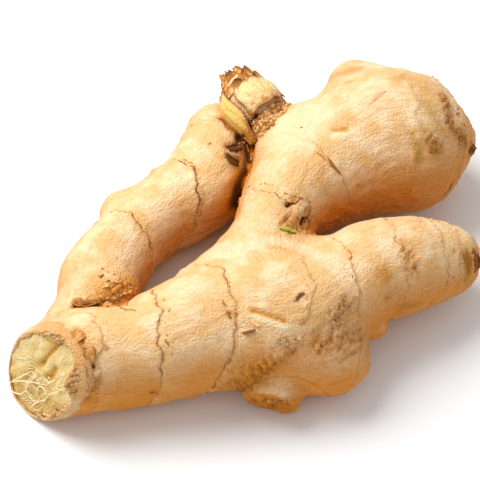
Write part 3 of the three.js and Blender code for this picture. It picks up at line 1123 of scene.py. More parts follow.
@dataclass(frozen=True)
class SkinFinish(Finish):
    """The thin dry skin: peach tan with paler patches, fine lines, brown scars and painted shade."""

    name: str = "ginger skin"
    colour: Colour = rgb(236, 188, 128)
    polish: float = 0.16
    shine: float = 0.2
    glow: Glow = Glow(0.05, (1.0, 0.6, 0.3), 2.6)
    bend: float = 1.42
    light: Colour = rgb(246, 213, 169)
    # painted shade: saturated orange-brown on flanks that turn from facing up, and on rough spots
    painted_flank_shade: Colour = rgb(220, 138, 42)
    line: Colour = rgb(200, 132, 60)
    # painted shade: orange-brown in shut-in creases and hollows
    painted_shade: Colour = rgb(226, 136, 20)
    # dark brown: painted shade in the deepest creases, and the dark of the strongest brown marks
    deep: Colour = rgb(84, 40, 6)
    brown: Colour = rgb(164, 96, 28)
    amber: Colour = rgb(212, 138, 28)
    olive: Colour = rgb(186, 138, 36)
    pale: Colour = rgb(250, 228, 184)
    ring: Colour = rgb(140, 72, 10)
    young: Colour = rgb(240, 198, 136)

    def dress(self, g: Graph, inputs: dict, at: Socket, spots: dict) -> None:
        """Adds painted shade on flanks, rough spots and creases, the fine lines, the rings and the marks.
        """
        inputs["IOR"].default_value = self.bend
        clear, shut = g.value("clear"), g.value("shut")
        fibre = g.use("fibre", Grain=g.value("grain", "Vector"))
        # lean, how far the skin turns from facing up, sets how much painted flank shade it takes
        lean = g.step(g.plus(g.value("lean"), g.times(spots["Grit"], 0.3)), 0.22, 1.1)
        colour = g.paint(
            g.mix(spots["Patch"], self.colour, self.light),
            # painted shade on the flanks and the rough spots
            (lean, 0.95, self.painted_flank_shade),
            (g.value("rough"), 0.45, self.painted_flank_shade),
            (g.value("young"), 0.7, self.young),
            (g.times(fibre["Line"], clear), 0.3, self.line),
            (spots["Speck"], 0.22, self.line),
            # painted shade where the skin is shut in or hollow, dark brown in the deepest creases
            (g.step(shut, 0.22, 0.85), 0.85, self.painted_shade),
            (g.step(shut, 0.8, 1.05), 1.0, self.deep),
            (g.step(g.value("hollow"), 0.12, 0.9), 0.8, self.painted_shade),
            (self._ring(g, at), 1.0, self.ring),
        )
        grit = g.scaled(g.step(spots["Grit"], 0.36, 0.6), 0.7, 0.65)
        for name, most in (("amber", 0.85), ("olive", 0.9), ("pale", 0.9), ("brown", 0.95)):
            broken = g.sum("MULTIPLY!", g.value(name), grit)
            colour = g.paint(colour, (broken, most, getattr(self, name)))
        # strong brown marks turn dark brown; in the bud's crevice and under the torn fold that is painted
        # shade
        colour = g.mix(g.step(g.value("brown"), 0.6, 0.95), colour, self.deep)
        g.put(inputs["Base Color"], colour)
        crest = g.times(fibre["Crest"], g.scaled(clear, 0.8, 0.2))
        crest = g.times(crest, g.scaled(lean, 0.9, 0.45))
        g.put(inputs["Normal"], g.bump(g.plus(g.times(spots["Grit"], 0.4), crest), 1.0, 1.3))

    def _ring(self, g: Graph, at: Socket) -> Socket:
        """Gives the strength of the brown line, broken up along each ring."""
        near = g.sum("ABSOLUTE", g.sum("SUBTRACT", g.value("scar"), 0.2))
        wide = g.scaled(g.noise(at, 0.6, 3.0), 1.6, -0.35)
        line = g.sum("SUBTRACT!", 1.0, g.sum("DIVIDE", near, g.sum("MAXIMUM", wide, 0.16)))
        kept = g.scaled(g.step(g.noise(at, 0.35, 3.0), 0.34, 0.6), 0.7, 0.45)
        return g.sum("MULTIPLY!", g.times(line, kept), g.times(g.value("dark"), 1.3))


@dataclass(frozen=True)
class FleshFinish(Finish):
    """The wet cut flesh: pale cream yellow, darker and more olive in its grooves."""

    name: str = "ginger flesh"
    colour: Colour = rgb(234, 208, 148)
    rough: float = 0.42
    shine: float = 0.35
    glow: Glow = Glow(0.3, (1.0, 0.8, 0.35), 2.5)
    fine: float = 1.6
    yellow: Colour = rgb(220, 178, 82)
    olive: Colour = rgb(200, 140, 10)

    def dress(self, g: Graph, inputs: dict, at: Socket, spots: dict) -> None:
        """Adds the yellow patches and streaks, the olive grooves and a fine bump."""
        streak = g.step(g.noise(g.stretch(at, (0.7, 1.5, 0.4)), 0.8, 3.0), 0.45, 0.7)
        deep = g.scaled(g.step(spots["Grit"], 0.3, 0.7), 0.6, 0.8)
        colour = g.paint(
            self.colour,
            (spots["Patch"], 0.55, self.yellow),
            (streak, 0.4, self.yellow),
            (g.sum("MULTIPLY!", g.value("olive"), deep), 1.0, self.olive),
        )
        g.put(inputs["Base Color"], colour)
        g.put(inputs["Normal"], g.bump(g.noise(at, 1.4, 4.0), 0.9, 0.9))


@dataclass(frozen=True)
class ScaleFinish(Finish):
    """The bud's fleshy scales: cream to gold, finely veined, amber and brown at the edges."""

    name: str = "bud scale"
    colour: Colour = rgb(248, 220, 166)
    rough: float = 0.36
    polish: float = 0.12
    glow: Glow = Glow(0.25, (1.0, 0.7, 0.25), 2.0)
    gold: Colour = rgb(242, 200, 84)
    vein: Colour = rgb(220, 164, 84)
    amber: Colour = rgb(184, 112, 4)
    edge: Colour = rgb(150, 88, 30)

    def dress(self, g: Graph, inputs: dict, at: Socket, spots: dict) -> None:
        """Adds the gold, the veins, the amber stain and the brown edges."""
        fibre = g.use("fibre", Grain=g.value("grain", "Vector"))
        stain = g.plus(g.step(g.noise(at, 0.45, 3.0), 0.4, 0.62), 0.6)
        colour = g.paint(
            g.mix(g.value("gold"), self.colour, self.gold),
            (fibre["Line"], 0.75, self.vein),
            (g.sum("MULTIPLY!", g.value("amber"), stain), 1.0, self.amber),
            (g.sum("MULTIPLY!", g.value("edge"), g.plus(spots["Grit"], 0.55)), 1.0, self.edge),
        )
        g.put(inputs["Base Color"], colour)
        g.put(inputs["Normal"], g.bump(g.plus(fibre["Crest"], spots["Grit"]), 0.8, 0.5))


@dataclass(frozen=True)
class DryFinish(Finish):
    """Dry papery skin, torn or crumbled: each flake has a tone from dark brown to pale tan."""

    name: str = "dry skin"
    colour: Colour = rgb(178, 110, 38)
    rough: float = 0.7
    polish: float = 0.0
    shine: float = 0.2
    dark: Colour = rgb(90, 44, 8)
    tan: Colour = rgb(236, 188, 122)

    def dress(self, g: Graph, inputs: dict, at: Socket, spots: dict) -> None:
        """Adds each flake's tone, varied by the grit, and a fine bump."""
        varied = g.plus(g.value("tone"), g.times(g.sum("SUBTRACT", spots["Grit"], 0.5), 0.7))
        colour = g.mix(g.step(varied, 0.0, 0.5), self.dark, self.colour)
        g.put(inputs["Base Color"], g.mix(g.step(varied, 0.5, 1.0), colour, self.tan))
        g.put(inputs["Normal"], g.bump(spots["Grit"], 0.4, 0.3))


def sheet(middle: Array, thick: Array | float, loop: bool = False) -> Shape:
    """Makes a closed sheet round a grid of points.

    Its upper side faces along the step between rows crossed with the step between columns.

    Args:
        middle: The grid, as rows, columns and x, y, z.
        thick: The thickness, one number or one for each point.
        loop: Whether the last row joins the first.

    Returns:
        The sheet's points and faces.
    """
    rows, cols = middle.shape[:2]
    wide = np.concatenate([middle[-1:], middle, middle[:1]]) if loop else middle
    down = np.gradient(wide, axis=0)[1:-1] if loop else np.gradient(wide, axis=0)
    normal = unit(np.cross(down, np.gradient(middle, axis=1)))
    half = np.broadcast_to(np.asarray(thick, float) / 2, (rows, cols))[..., None] * normal
    points = np.concatenate([(middle + half).reshape(-1, 3), (middle - half).reshape(-1, 3)])
    number = np.arange(rows * cols).reshape(rows, cols)
    if loop:
        number = np.vstack([number, number[:1]])
    quads = [number[:-1, :-1], number[1:, :-1], number[1:, 1:], number[:-1, 1:]]
    top = np.stack(quads, -1).reshape(-1, 4)
    first, last = number[:, 0], number[:, -1]
    if loop:
        edges = [np.stack([first[:-1], first[1:]]), np.stack([last[1:], last[:-1]])]
    else:
        ring = np.concatenate([first[:-1], number[-1, :-1], last[:0:-1], number[0, :0:-1]])
        edges = [np.stack([ring, np.roll(ring, -1)])]
    under = rows * cols
    sides = [np.stack([b, a, a + under, b + under], -1) for a, b in edges]
    return points, np.vstack([top, top[:, ::-1] + under, *sides]).tolist()


def turns(count: int) -> Array:
    """Gives evenly spaced angles all the way round, in radians."""
    return np.linspace(0, 2 * np.pi, count, endpoint=False)


def walls(number: Array) -> list:
    """Gives the faces between closed rings of points, whose numbers stand in rows."""
    after = np.roll(number, -1, axis=1)
    return np.stack([number[:-1], after[:-1], after[1:], number[1:]], -1).reshape(-1, 4).tolist()


def fan(tip: int, ring: Array, under: bool = False) -> list:
    """Gives the faces from a tip to each edge of a ring, turned over where the tip is under it."""
    pairs = zip(ring.tolist(), np.roll(ring, -1).tolist())
    return [[tip, b, a] if under else [tip, a, b] for a, b in pairs]


def tube(path: Array, radius: Array | float, sides: int = 6) -> Shape:
    """Makes a closed tube along a path.

    Args:
        path: The points of its middle line as rows.
        radius: One radius, or one for each point.
        sides: How many sides it has.

    Returns:
        The tube's points and faces.
    """
    steps = unit(np.gradient(path, axis=0))
    side = np.cross(steps[0], (0.31, -0.22, 0.93))
    frames = []
    for step in steps:
        side = side - (side @ step) * step
        side = side / np.linalg.norm(side)
        frames.append((side, np.cross(step, side)))
    sideways, upward = (np.array(v)[:, None] for v in zip(*frames))
    turn = turns(sides)[:, None]
    wide = np.broadcast_to(np.asarray(radius, float), len(path))[:, None, None]
    points = path[:, None] + wide * (np.cos(turn) * sideways + np.sin(turn) * upward)
    number = np.arange(len(path) * sides).reshape(-1, sides)
    return points.reshape(-1, 3), [*walls(number), number[0, ::-1].tolist(), number[-1].tolist()]


def crumb(centre: Array, size: Array, rng: Rng) -> Shape:
    """Makes a small lumpy closed ball of 24 faces.

    Args:
        centre: Its middle.
        size: Its three half widths, each along its own direction, as rows.
        rng: The source of its lumps.

    Returns:
        The crumb's points and faces.
    """
    tips = np.linspace(-1, 1, 5)[1:-1]
    turn = turns(6)
    flat = np.sqrt(1 - tips**2)[:, None]
    ball = np.stack([flat * np.cos(turn), flat * np.sin(turn), np.tile(tips[:, None], 6)], -1)
    ball = np.vstack([ball.reshape(-1, 3), [(0, 0, -1), (0, 0, 1)]])
    ball *= rng.uniform(0.65, 1.2, (len(ball), 1))
    number = np.arange(18).reshape(3, 6)
    faces = walls(number) + fan(18, number[0], under=True) + fan(19, number[2])
    return centre + ball @ size, faces


def curve(stops: Array, count: int) -> Array:
    """Puts points evenly along a Catmull-Rom curve through stops.

    Args:
        stops: Positions as rows.
        count: How many points.

    Returns:
        The points as rows.
    """
    at = np.linspace(0, len(stops) - 1.000001, count)
    i = at.astype(int)
    stops = mirrored(np.asarray(stops, float))
    return catmull(stops[i], stops[i + 1], stops[i + 2], stops[i + 3], (at - i)[:, None])


@dataclass
class Batch:
    """Small closed shapes, joined into one piece, with numbers for their points."""

    points: list[Array] = field(default_factory=list)
    faces: list[list[int]] = field(default_factory=list)
    values: dict[str, list[Array]] = field(default_factory=dict)
    count: int = 0

    def add(self, shape: Shape, **values: Array | float) -> None:
        """Adds a shape, with one number, or one for each point, for every attribute."""
        points, faces = shape
        self.points.append(points)
        self.faces += [[corner + self.count for corner in face] for face in faces]
        self.count += len(points)
        for key, value in values.items():
            value = np.asarray(value, float)
            full = value if value.ndim and len(value) == len(points) else np.full(len(points), value)
            self.values.setdefault(key, []).append(full)

    def make(self, name: str, finish: Material) -> None:
        """Makes the piece."""
        values = {key: np.concatenate(rows) for key, rows in self.values.items()}
        make_piece(name, (np.vstack(self.points), self.faces), finish, values)


@dataclass
class Ground:
    """The finished skin, on which the small pieces land."""

    points: Array
    faces: Array

    def __post_init__(self) -> None:
        """Sorts the skin's faces so that the nearest can be found."""
        self.tree = BVHTree.FromPolygons(self.points.tolist(), self.faces.tolist())
        self.normals = point_normals(self.points, self.faces)

    def land(self, spots: Array) -> tuple[Array, Array]:
        """Finds the skin nearest to some spots.

        Args:
            spots: Positions, with x, y and z last.

        Returns:
            The places on the skin and the directions in which it faces there.
        """
        flat = np.asarray(spots, float).reshape(-1, 3)
        found = [self.tree.find_nearest(p) for p in flat.tolist()]
        places = np.array([f[0] for f in found])
        facing = unit(np.array([self.normals[self.faces[f[2]]].sum(0) for f in found]))
        return places.reshape(np.shape(spots)), facing.reshape(np.shape(spots))


@dataclass(frozen=True)
class Flake:
    """A torn flake of dry skin, fixed along one edge and lifted at the other.

    start and end are the ends of its fixed edge. width is how far it reaches to the left of that
    edge as seen from outside, lift is how high its free edge stands, and tone is its colour from 0,
    dark, to 1, pale. thick is its thickness, and curl is how far its free edge turns back, as a
    share of its width.
    """

    start: Point
    end: Point
    width: float
    lift: float
    tone: float
    thick: float = 0.16
    curl: float = 0.0

    def shape(self, ground: Ground, rng: Rng) -> Shape:
        """Builds the flake on the skin.

        Args:
            ground: The skin.
            rng: The source of its ragged edge.

        Returns:
            The flake's points and faces.
        """
        rows, cols = 7, 4
        u = np.linspace(0, 1, rows)
        foot, facing = ground.land(between(self.start, self.end, u))
        out = np.cross(facing, unit(np.gradient(foot, axis=0)))
        v = np.linspace(0, 1, cols)
        ragged = np.sin(np.pi * np.clip(u, 0.06, 0.94)) ** 0.6 * rng.uniform(0.65, 1.15, rows)
        reach = self.width * ragged[:, None] * v
        rise = self.lift * (v**2)[None] * ragged[:, None] - 0.1 + 0.2 * v[None]
        back = self.curl * self.width * (v**3)[None] * ragged[:, None]
        middle = foot[:, None] + out[:, None] * (reach - back)[..., None]
        return sheet(middle + facing[:, None] * rise[..., None], self.thick)


@dataclass(frozen=True)
class CutEnd:
    """The cut flesh, its grooves, the fibres that stand out of it and the torn skin round it.

    Positions on the cut are (across, up) from its middle point, in millimetres. outline gives how
    far the flesh reaches, by the angle from across towards up, in degrees, about hub. Where that
    stops short of the skin by more than rim, torn skin lies between, in so many torn rings. plate
    is how far the flesh goes below the skin's edge, and loose is how many short fibres lie on it.
    wall gives heights over the cut and how far the rim stands off the skin at each. A groove is
    its stops, its width, its depth and how olive it is.
    """

    hub: Pair = (-3.5, -1.5)
    turns: int = 216
    rings: int = 36
    rim: float = 0.4
    torn: int = 17
    wall: tuple = ((-SUNK - 1.2, 0.1), (-SUNK, 0.12), (-0.7, 0.08), (-0.2, -0.05))
    plate: float = 0.6
    loose: int = 34
    outline: tuple = (
        (0, 12.2), (8, 12.6), (22, 9.7), (34, 10.6), (45, 12.9), (58, 16.2), (66, 17), (74, 14.6),
        (84, 13.4), (90, 12.4), (103, 12), (123, 11.8), (160, 12.6), (194, 15), (216, 19),
        (230, 20.5), (241, 20), (259, 17.4), (280, 14.4), (287, 12.8), (294, 13.6), (310, 11),
        (321, 10.7), (347, 11.6), (360, 12.2),
    )
    grooves: tuple = (
        (((-2.6, 11.6), (-4.4, 5.9), (-6.2, 0.6)), 0.8, 0.9, 1),
        (((-6.2, 0.6), (-9, -3.8), (-9.8, -8.6)), 1.5, 0.6, 0.55),
        (((-7.4, 8.4), (-3.4, 9.9), (-1.4, 12.9)), 0.6, 0.5, 0.8),
        (((-0.8, 2.8), (-1.1, 0.3), (-2.4, -1.6)), 1.2, 1, 1),
        (((-6.4, -7.2), (-3.4, -6.6), (-0.6, -3.6)), 1.6, 0.5, 0.45),
        (((-8, -11.6), (-5.6, -12.9), (-3, -10.4)), 1.2, 0.5, 0.5),
    )

    def build(self, root: Field, materials: Materials) -> None:
        """Builds the flesh, the fibres and the torn skin.

        Args:
            root: The root's field.
            materials: The finishes by name.
        """
        angle = turns(self.turns)
        stops, reach = np.array(self.outline).T
        inner = np.interp(np.degrees(angle), stops, reach)
        ragged = 0.28 * np.sin(11 * angle) + 0.2 * np.sin(23 * angle + 1) + 0.14 * np.sin(41 * angle)
        inner = np.minimum(inner + ragged, self._edge(root, angle, 0.0) - self.rim)
        self._flesh(angle, inner, materials["flesh"])
        self._rim(root, angle, inner, materials["skin"])
        self._fibres(materials["fibre"])

    def at(self, across: Array, up: Array, height: Array | float) -> Array:
        """Turns positions on the cut into positions in space."""
        point, side, rise, normal = CUT.axes()
        across, up, height = np.broadcast_arrays(across, up, height)
        return point + across[..., None] * side + up[..., None] * rise + height[..., None] * normal

    def _polar(self, angle: Array, out: Array) -> tuple[Array, Array]:
        """Gives positions on the cut at angles and distances from the hub."""
        return self.hub[0] + out * np.cos(angle), self.hub[1] + out * np.sin(angle)

    def _edge(self, root: Field, angle: Array, height: float) -> Array:
        """Finds how far the skin is from the hub at each angle, at a height over the cut."""
        out = np.arange(2.0, 30.0, 0.1)
        spots = self.at(*self._polar(angle[:, None], out), height)
        outside = np.maximum(root.sample(spots), -spots[..., 2]) > 0
        return out[outside.argmax(1)]

    def _height(self, across: Array, up: Array) -> tuple[Array, Array]:
        """Gives the height of the flesh and how olive it is, at positions on the cut."""
        flat = np.stack([across.ravel(), up.ravel(), np.zeros(across.size)], -1)
        height = 0.1 * ripples(flat, (3.0, 6.5), (3.0, 8.0), 71)
        height += 0.035 * ripples(flat, (0.9, 1.8), (0.9, 1.8), 72)
        olive = np.zeros(across.size)
        for stops, width, depth, tint in self.grooves:
            line = curve([(*p, 0.0) for p in stops], 16)
            gap = np.linalg.norm(flat[:, None] - line, axis=-1).min(1)
            strength = np.exp(-((gap / width) ** 2))
            height -= 0.7 * depth * strength
            olive = np.maximum(olive, tint * strength)
        low = ease((-4.5 - up + 0.35 * across) / 3.0)
        height, olive = height.reshape(low.shape), olive.reshape(low.shape)
        return height - 0.3 * low, np.maximum(olive, 0.4 * low)

    def _flesh(self, angle: Array, inner: Array, finish: Material) -> None:
        """Builds the flesh as a closed round plate that fills the cut inside the skin."""
        share = np.linspace(0, 1, self.rings + 1)[1:]
        across, up = self._polar(angle, inner * share[:, None])
        height, olive = self._height(across, up)
        height -= 0.25 * np.exp(-((1 - share[:, None]) * inner / 0.5))
        top = self.at(across, up, height)
        under = -SUNK - self.plate
        low = self.at(across[-1], up[-1], under)
        hub = self.at(*(np.array(v) for v in self.hub), np.array([0.0, under]))
        points = np.vstack([top.reshape(-1, 3), low, hub])
        points[:, 2] = np.maximum(points[:, 2], 0.05)
        number = np.arange((self.rings + 1) * self.turns).reshape(-1, self.turns)
        centre = len(points) - 2
        faces = [[a, d, c, b] for a, b, c, d in walls(number)]
        faces += fan(centre, number[0]) + fan(centre + 1, number[-1], under=True)
        tint = np.concatenate([olive.ravel(), np.full(self.turns + 2, 0.5)])
        make_piece("cut_flesh", (points, faces), finish, {"olive": tint})

    def _rim(self, root: Field, angle: Array, inner: Array, finish: Material) -> None:
        """Builds the skin's own wall down to where it was cut back, and the torn skin inside it.

        The band's columns run from the foot of the wall over its edge to the flesh.
        """
        columns, brown = [], []
        for deep, out in self.wall:
            columns.append(self.at(*self._polar(angle, self._edge(root, angle, deep) + out), deep))
            brown.append(np.full(self.turns, 0.1))
        outer = self._edge(root, angle, 0.0) - 0.3
        wide = np.clip((outer - inner) / 3.0, 0, 1)
        for share in np.linspace(0, 1, self.torn):
            across, up = self._polar(angle, outer + share * (inner - 0.25 - outer))
            flat = np.stack([across, up, 0 * up], -1)
            rough = ripples(flat, (0.9, 2.4), (0.9, 2.4), 81)
            height = 0.12 + wide * (0.4 * np.sin(np.pi * share) + 0.5 * rough) - 0.35 * share**6
            columns.append(self.at(across, up, height))
            bare = wide * (0.35 + 0.65 * share) * (0.7 - 0.5 * rough)
            brown.append(np.clip(0.05 + bare + 0.6 * share**4, 0, 1))
        middle = np.stack(columns, 1)
        middle[..., 2] = np.maximum(middle[..., 2], 0.2)
        shape = sheet(middle, 0.3, loop=True)
        tints = {"brown": 0.6 * np.tile(np.stack(brown, 1).ravel(), 2), "grain": shape[0]}
        # an even lean of 0.4 gives the rim a share of the skin's painted flank shade
        for name, value in (("lean", 0.4), ("clear", 1.0), ("scar", NO_RING)):
            tints[name] = np.full(len(shape[0]), value)
        make_piece("cut_rim", shape, finish, tints)

    def _fibres(self, finish: Material) -> None:
        """Builds the pale fibres: those that stand out in the photo, and short loose ones."""
        rng, batch = np.random.default_rng(3), Batch()
        for stops, rise in FIBRES:
            line = curve([(*p, 0.0) for p in stops], 6 * len(stops))
            self._fibre(batch, line, rise, 0.15)
        for _ in range(self.loose):
            start = rng.uniform((-13.5, -14.0), (4.5, -1.0))
            turn = rng.uniform(-0.2, 1.6) + np.pi * rng.integers(2)
            bend = turn + rng.uniform(-0.9, 0.9)
            size = rng.uniform(0.8, 2.2)
            first = start + size * np.array([np.cos(turn), np.sin(turn)])
            stops = [start, first, first + size * np.array([np.cos(bend), np.sin(bend)])]
            line = curve([(*p, 0.0) for p in stops], 9)
            self._fibre(batch, line, rng.uniform(0.05, 0.4), rng.uniform(0.07, 0.11))
        batch.make("cut_fibres", finish)

    def _fibre(self, batch: Batch, line: Array, rise: float, radius: float) -> None:
        """Adds one fibre that follows a line on the cut and arches over the flesh."""
        height, _ = self._height(line[:, 0], line[:, 1])
        smooth = np.convolve(np.pad(height, 2, "edge"), np.ones(5) / 5, "valid")
        arch = np.sin(np.linspace(0, np.pi, len(line)))
        path = self.at(line[:, 0], line[:, 1], np.maximum(smooth, height - 0.05) + 0.1 + rise * arch)
        batch.add(tube(path, radius * (0.55 + 0.45 * arch)))


# Each fibre's stops on the cut, as (across, up), and how high it arches.
FIBRES = [
    (((-16.1, -16.2), (-12.8, -11.7), (-7.2, -7.1), (-2, -4)), 0.9),
    (((-16.1, -16.2), (-12.5, -15.5), (-9.2, -13.6), (-7.7, -11.3), (-3.4, -11.5)), 0.7),
    (((-14.9, -14), (-11.5, -9), (-8.6, -4.2)), 0.5),
    (((-7.3, -4.7), (-8.4, -8.8), (-8.1, -11.6)), 0.9),
    (((-5.8, -3), (-7.3, -7.8), (-7.3, -11), (-4, -12.4)), 1),
    (((-6.5, -3.8), (-7.2, -7)), 0.5),
    (
        ((-2.3, -9.7), (-4.1, -8.5), (-3.3, -5.5), (-1.2, -4.5), (0.3, -5.5), (0, -8.1),
         (-1.7, -9.5)), 1,
    ),
    (((-1.5, -3.9), (-0.6, -1.6), (0.9, 0.4)), 0.4),
    (((3.1, 3.1), (2.5, 0.3), (3.8, -0.5), (6.3, 1.7)), 0.5),
    (((-0.1, -8.9), (1, -4.9), (5.9, 1.4)), 0.5),
    (((-2.4, -1.2), (-1.2, -1)), 0.6),
    (((-7.7, -11.3), (-6.1, -12.3), (-3.3, -11.8)), 0.4),
    (((-4.3, -15), (-3.1, -12), (-1, -9)), 0.4),
]


@dataclass(frozen=True)
class BudScale:
    """One fleshy scale of the bud, a patch of the bud's surface lifted off it.

    along is where it lies along the bud, from its foot to its head, and angle is where it lies in
    degrees round it. lift is how far its foot and its head stand off. gold and
    amber are how strongly it takes each colour, amber at the foot alone. point and taper are the
    shares by which it narrows at its foot and its head, and ragged is how far each of them strays.
    about turns its angles into millimetres for the veins.
    """

    name: str
    along: Pair
    angle: Pair
    lift: Pair
    gold: float
    amber: float
    point: float
    taper: float = 0.25
    thick: float = 0.8
    ragged: Pair = (1.5, 2.2)
    about: float = 8.0

    def build(self, finish: Material, seed: int) -> None:
        """Builds the scale.

        Args:
            finish: Its material.
            seed: Which draw its ragged edges take.
        """
        rng = np.random.default_rng(seed)
        rows, cols, knots = 26, 22, 9
        u, v = np.linspace(0, 1, rows)[:, None], np.linspace(-1, 1, cols)[None]
        narrow = 1 - self.point * (1 - u) ** 2 - self.taper * u**3
        along = self.along[0] + u * (self.along[1] - self.along[0]) + 0 * v
        across, at = np.linspace(0, 1, cols), np.linspace(0, 1, knots)
        foot, head = (np.interp(across, at, rng.uniform(-0.5, 0.5, knots)) for _ in range(2))
        along = along + self.ragged[0] * foot * (1 - u) + self.ragged[1] * head * u
        middle, half = np.mean(self.angle), (self.angle[1] - self.angle[0]) / 2
        angle = np.radians(middle + half * v * narrow + 3 * np.sin(9 * u + seed))
        edge = np.maximum(np.abs(v) ** 14, (1 - u) ** 16 + u**12)
        lift = self.lift[0] + (self.lift[1] - self.lift[0]) * u + 0.5 * (1 - v**2)
        lift = lift + 0.12 * np.sin(5 * v + 7 * u + seed) + 0.12 * np.sin(11 * v - 4 * u) + 0.35 * edge
        shape = sheet(BUD.skin_at(along, angle, lift), self.thick * (1 - 0.6 * edge))
        grain = np.stack([along, self.about * angle, 0 * angle], -1).reshape(-1, 3)
        amber = self.amber * ease(1.25 - u / 0.45) + 0 * v
        tints = {"grain": grain, "gold": np.full(rows * cols, self.gold), "amber": amber.ravel()}
        tints["edge"] = np.clip(edge * 1.1, 0, 1).ravel()
        both = {name: np.concatenate([value, value]) for name, value in tints.items()}
        make_piece(self.name, shape, finish, both)


SCALES = [
    BudScale("bud_scale_gold", (0, 17.6), (136, 222), (0.7, 0.4), 0.8, 1, 0.55, taper=0.5),
    BudScale("bud_scale_cream", (6.3, 15.8), (28, 138), (1, 0.3), 0.25, 0.6, 0.1),
    BudScale("bud_scale_right", (3.5, 12.5), (-42, 24), (0.5, 0.3), 0.5, 0.5, 0.3),
    BudScale("bud_scale_under", (2.5, 15), (226, 322), (0.3, 0.3), 0.6, 0.4, 0.3),
]


@dataclass(frozen=True)
class BudCrown:
    """The torn papery layers that stand round the bud's tip, and the crumbs at its foot.

    Each layer is its radius round the bud's axis, how far past the tip's middle its foot and its
    highest edge lie, and how far that edge leans in. dark holds the dark crumbs in the crevice.
    """

    layers: tuple = (
        (7.9, -3.4, 1, 0.1), (7.3, 0, 3.8, 0.8), (6.3, 1.8, 6, 0.9), (5.2, 3.2, 7.8, 0.8),
        (4.1, 4.2, 9.2, 0.6), (2.9, 5, 9.8, 0.4), (1.7, 5.6, 9.2, 0.3),
    )
    turns: int = 44
    thick: float = 0.28
    crumbs: int = 110
    dark: tuple = ((-0.8, 31.4, 27.2), (-1.8, 30.8, 26.2), (0.6, 32.2, 30.6), (-1.0, 29.6, 24.6))

    def build(self, ground: Ground, materials: Materials) -> None:
        """Builds the layers and the crumbs.

        Args:
            ground: The finished skin.
            materials: The finishes by name.
        """
        rng, batch = np.random.default_rng(21), Batch()
        for layer in self.layers:
            self._layer(batch, layer, rng)
        for _ in range(self.crumbs):
            spot = BUD.skin_at(np.array(rng.uniform(0, 5.5)), np.radians(rng.uniform(20, 150)), 0.0)
            foot, facing = ground.land(spot)
            size = np.diag(rng.uniform(0.3, 1.0, 3))
            batch.add(crumb(foot + 0.1 * facing, size, rng), tone=rng.uniform(0.35, 1.05))
        for spot in self.dark:
            batch.add(crumb(np.array(spot), np.diag((1.1, 1.0, 0.9)), rng), tone=-0.2)
        batch.make("bud_crown", materials["dry"])

    def _layer(self, batch: Batch, layer: tuple, rng: Rng) -> None:
        """Adds one torn layer, a thin collar with a ragged edge."""
        radius, foot, edge, lean = layer
        turn = turns(self.turns)[:, None]
        v = np.linspace(0, 1, 6)[None]
        shift = rng.uniform(0, 6)
        torn = 0.6 + 0.26 * np.sin(2 * turn + shift) + 0.18 * np.sin(5 * turn + 2 * shift)
        torn = torn + rng.uniform(-0.18, 0.18, (self.turns, 1))
        rise = foot + (edge - foot) * np.clip(torn, 0.1, 1.1) * v
        out = radius - lean * v**2 + 0.3 * np.sin(4 * turn + shift) * (0.4 + 0.6 * v)
        axis = unit(BUD.chain[-1, :3] - BUD.chain[-2, :3])
        near, top = beside(axis)
        round_it = near * np.cos(turn) + top * np.sin(turn)
        spots = BUD.chain[-1, :3] + axis * rise[..., None] + round_it[:, None] * out[..., None]
        tone = 0.7 - 0.45 * v**2 + rng.uniform(-0.35, 0.35, (self.turns, 1))
        batch.add(sheet(spots, self.thick, loop=True), tone=np.tile(tone.ravel(), 2))


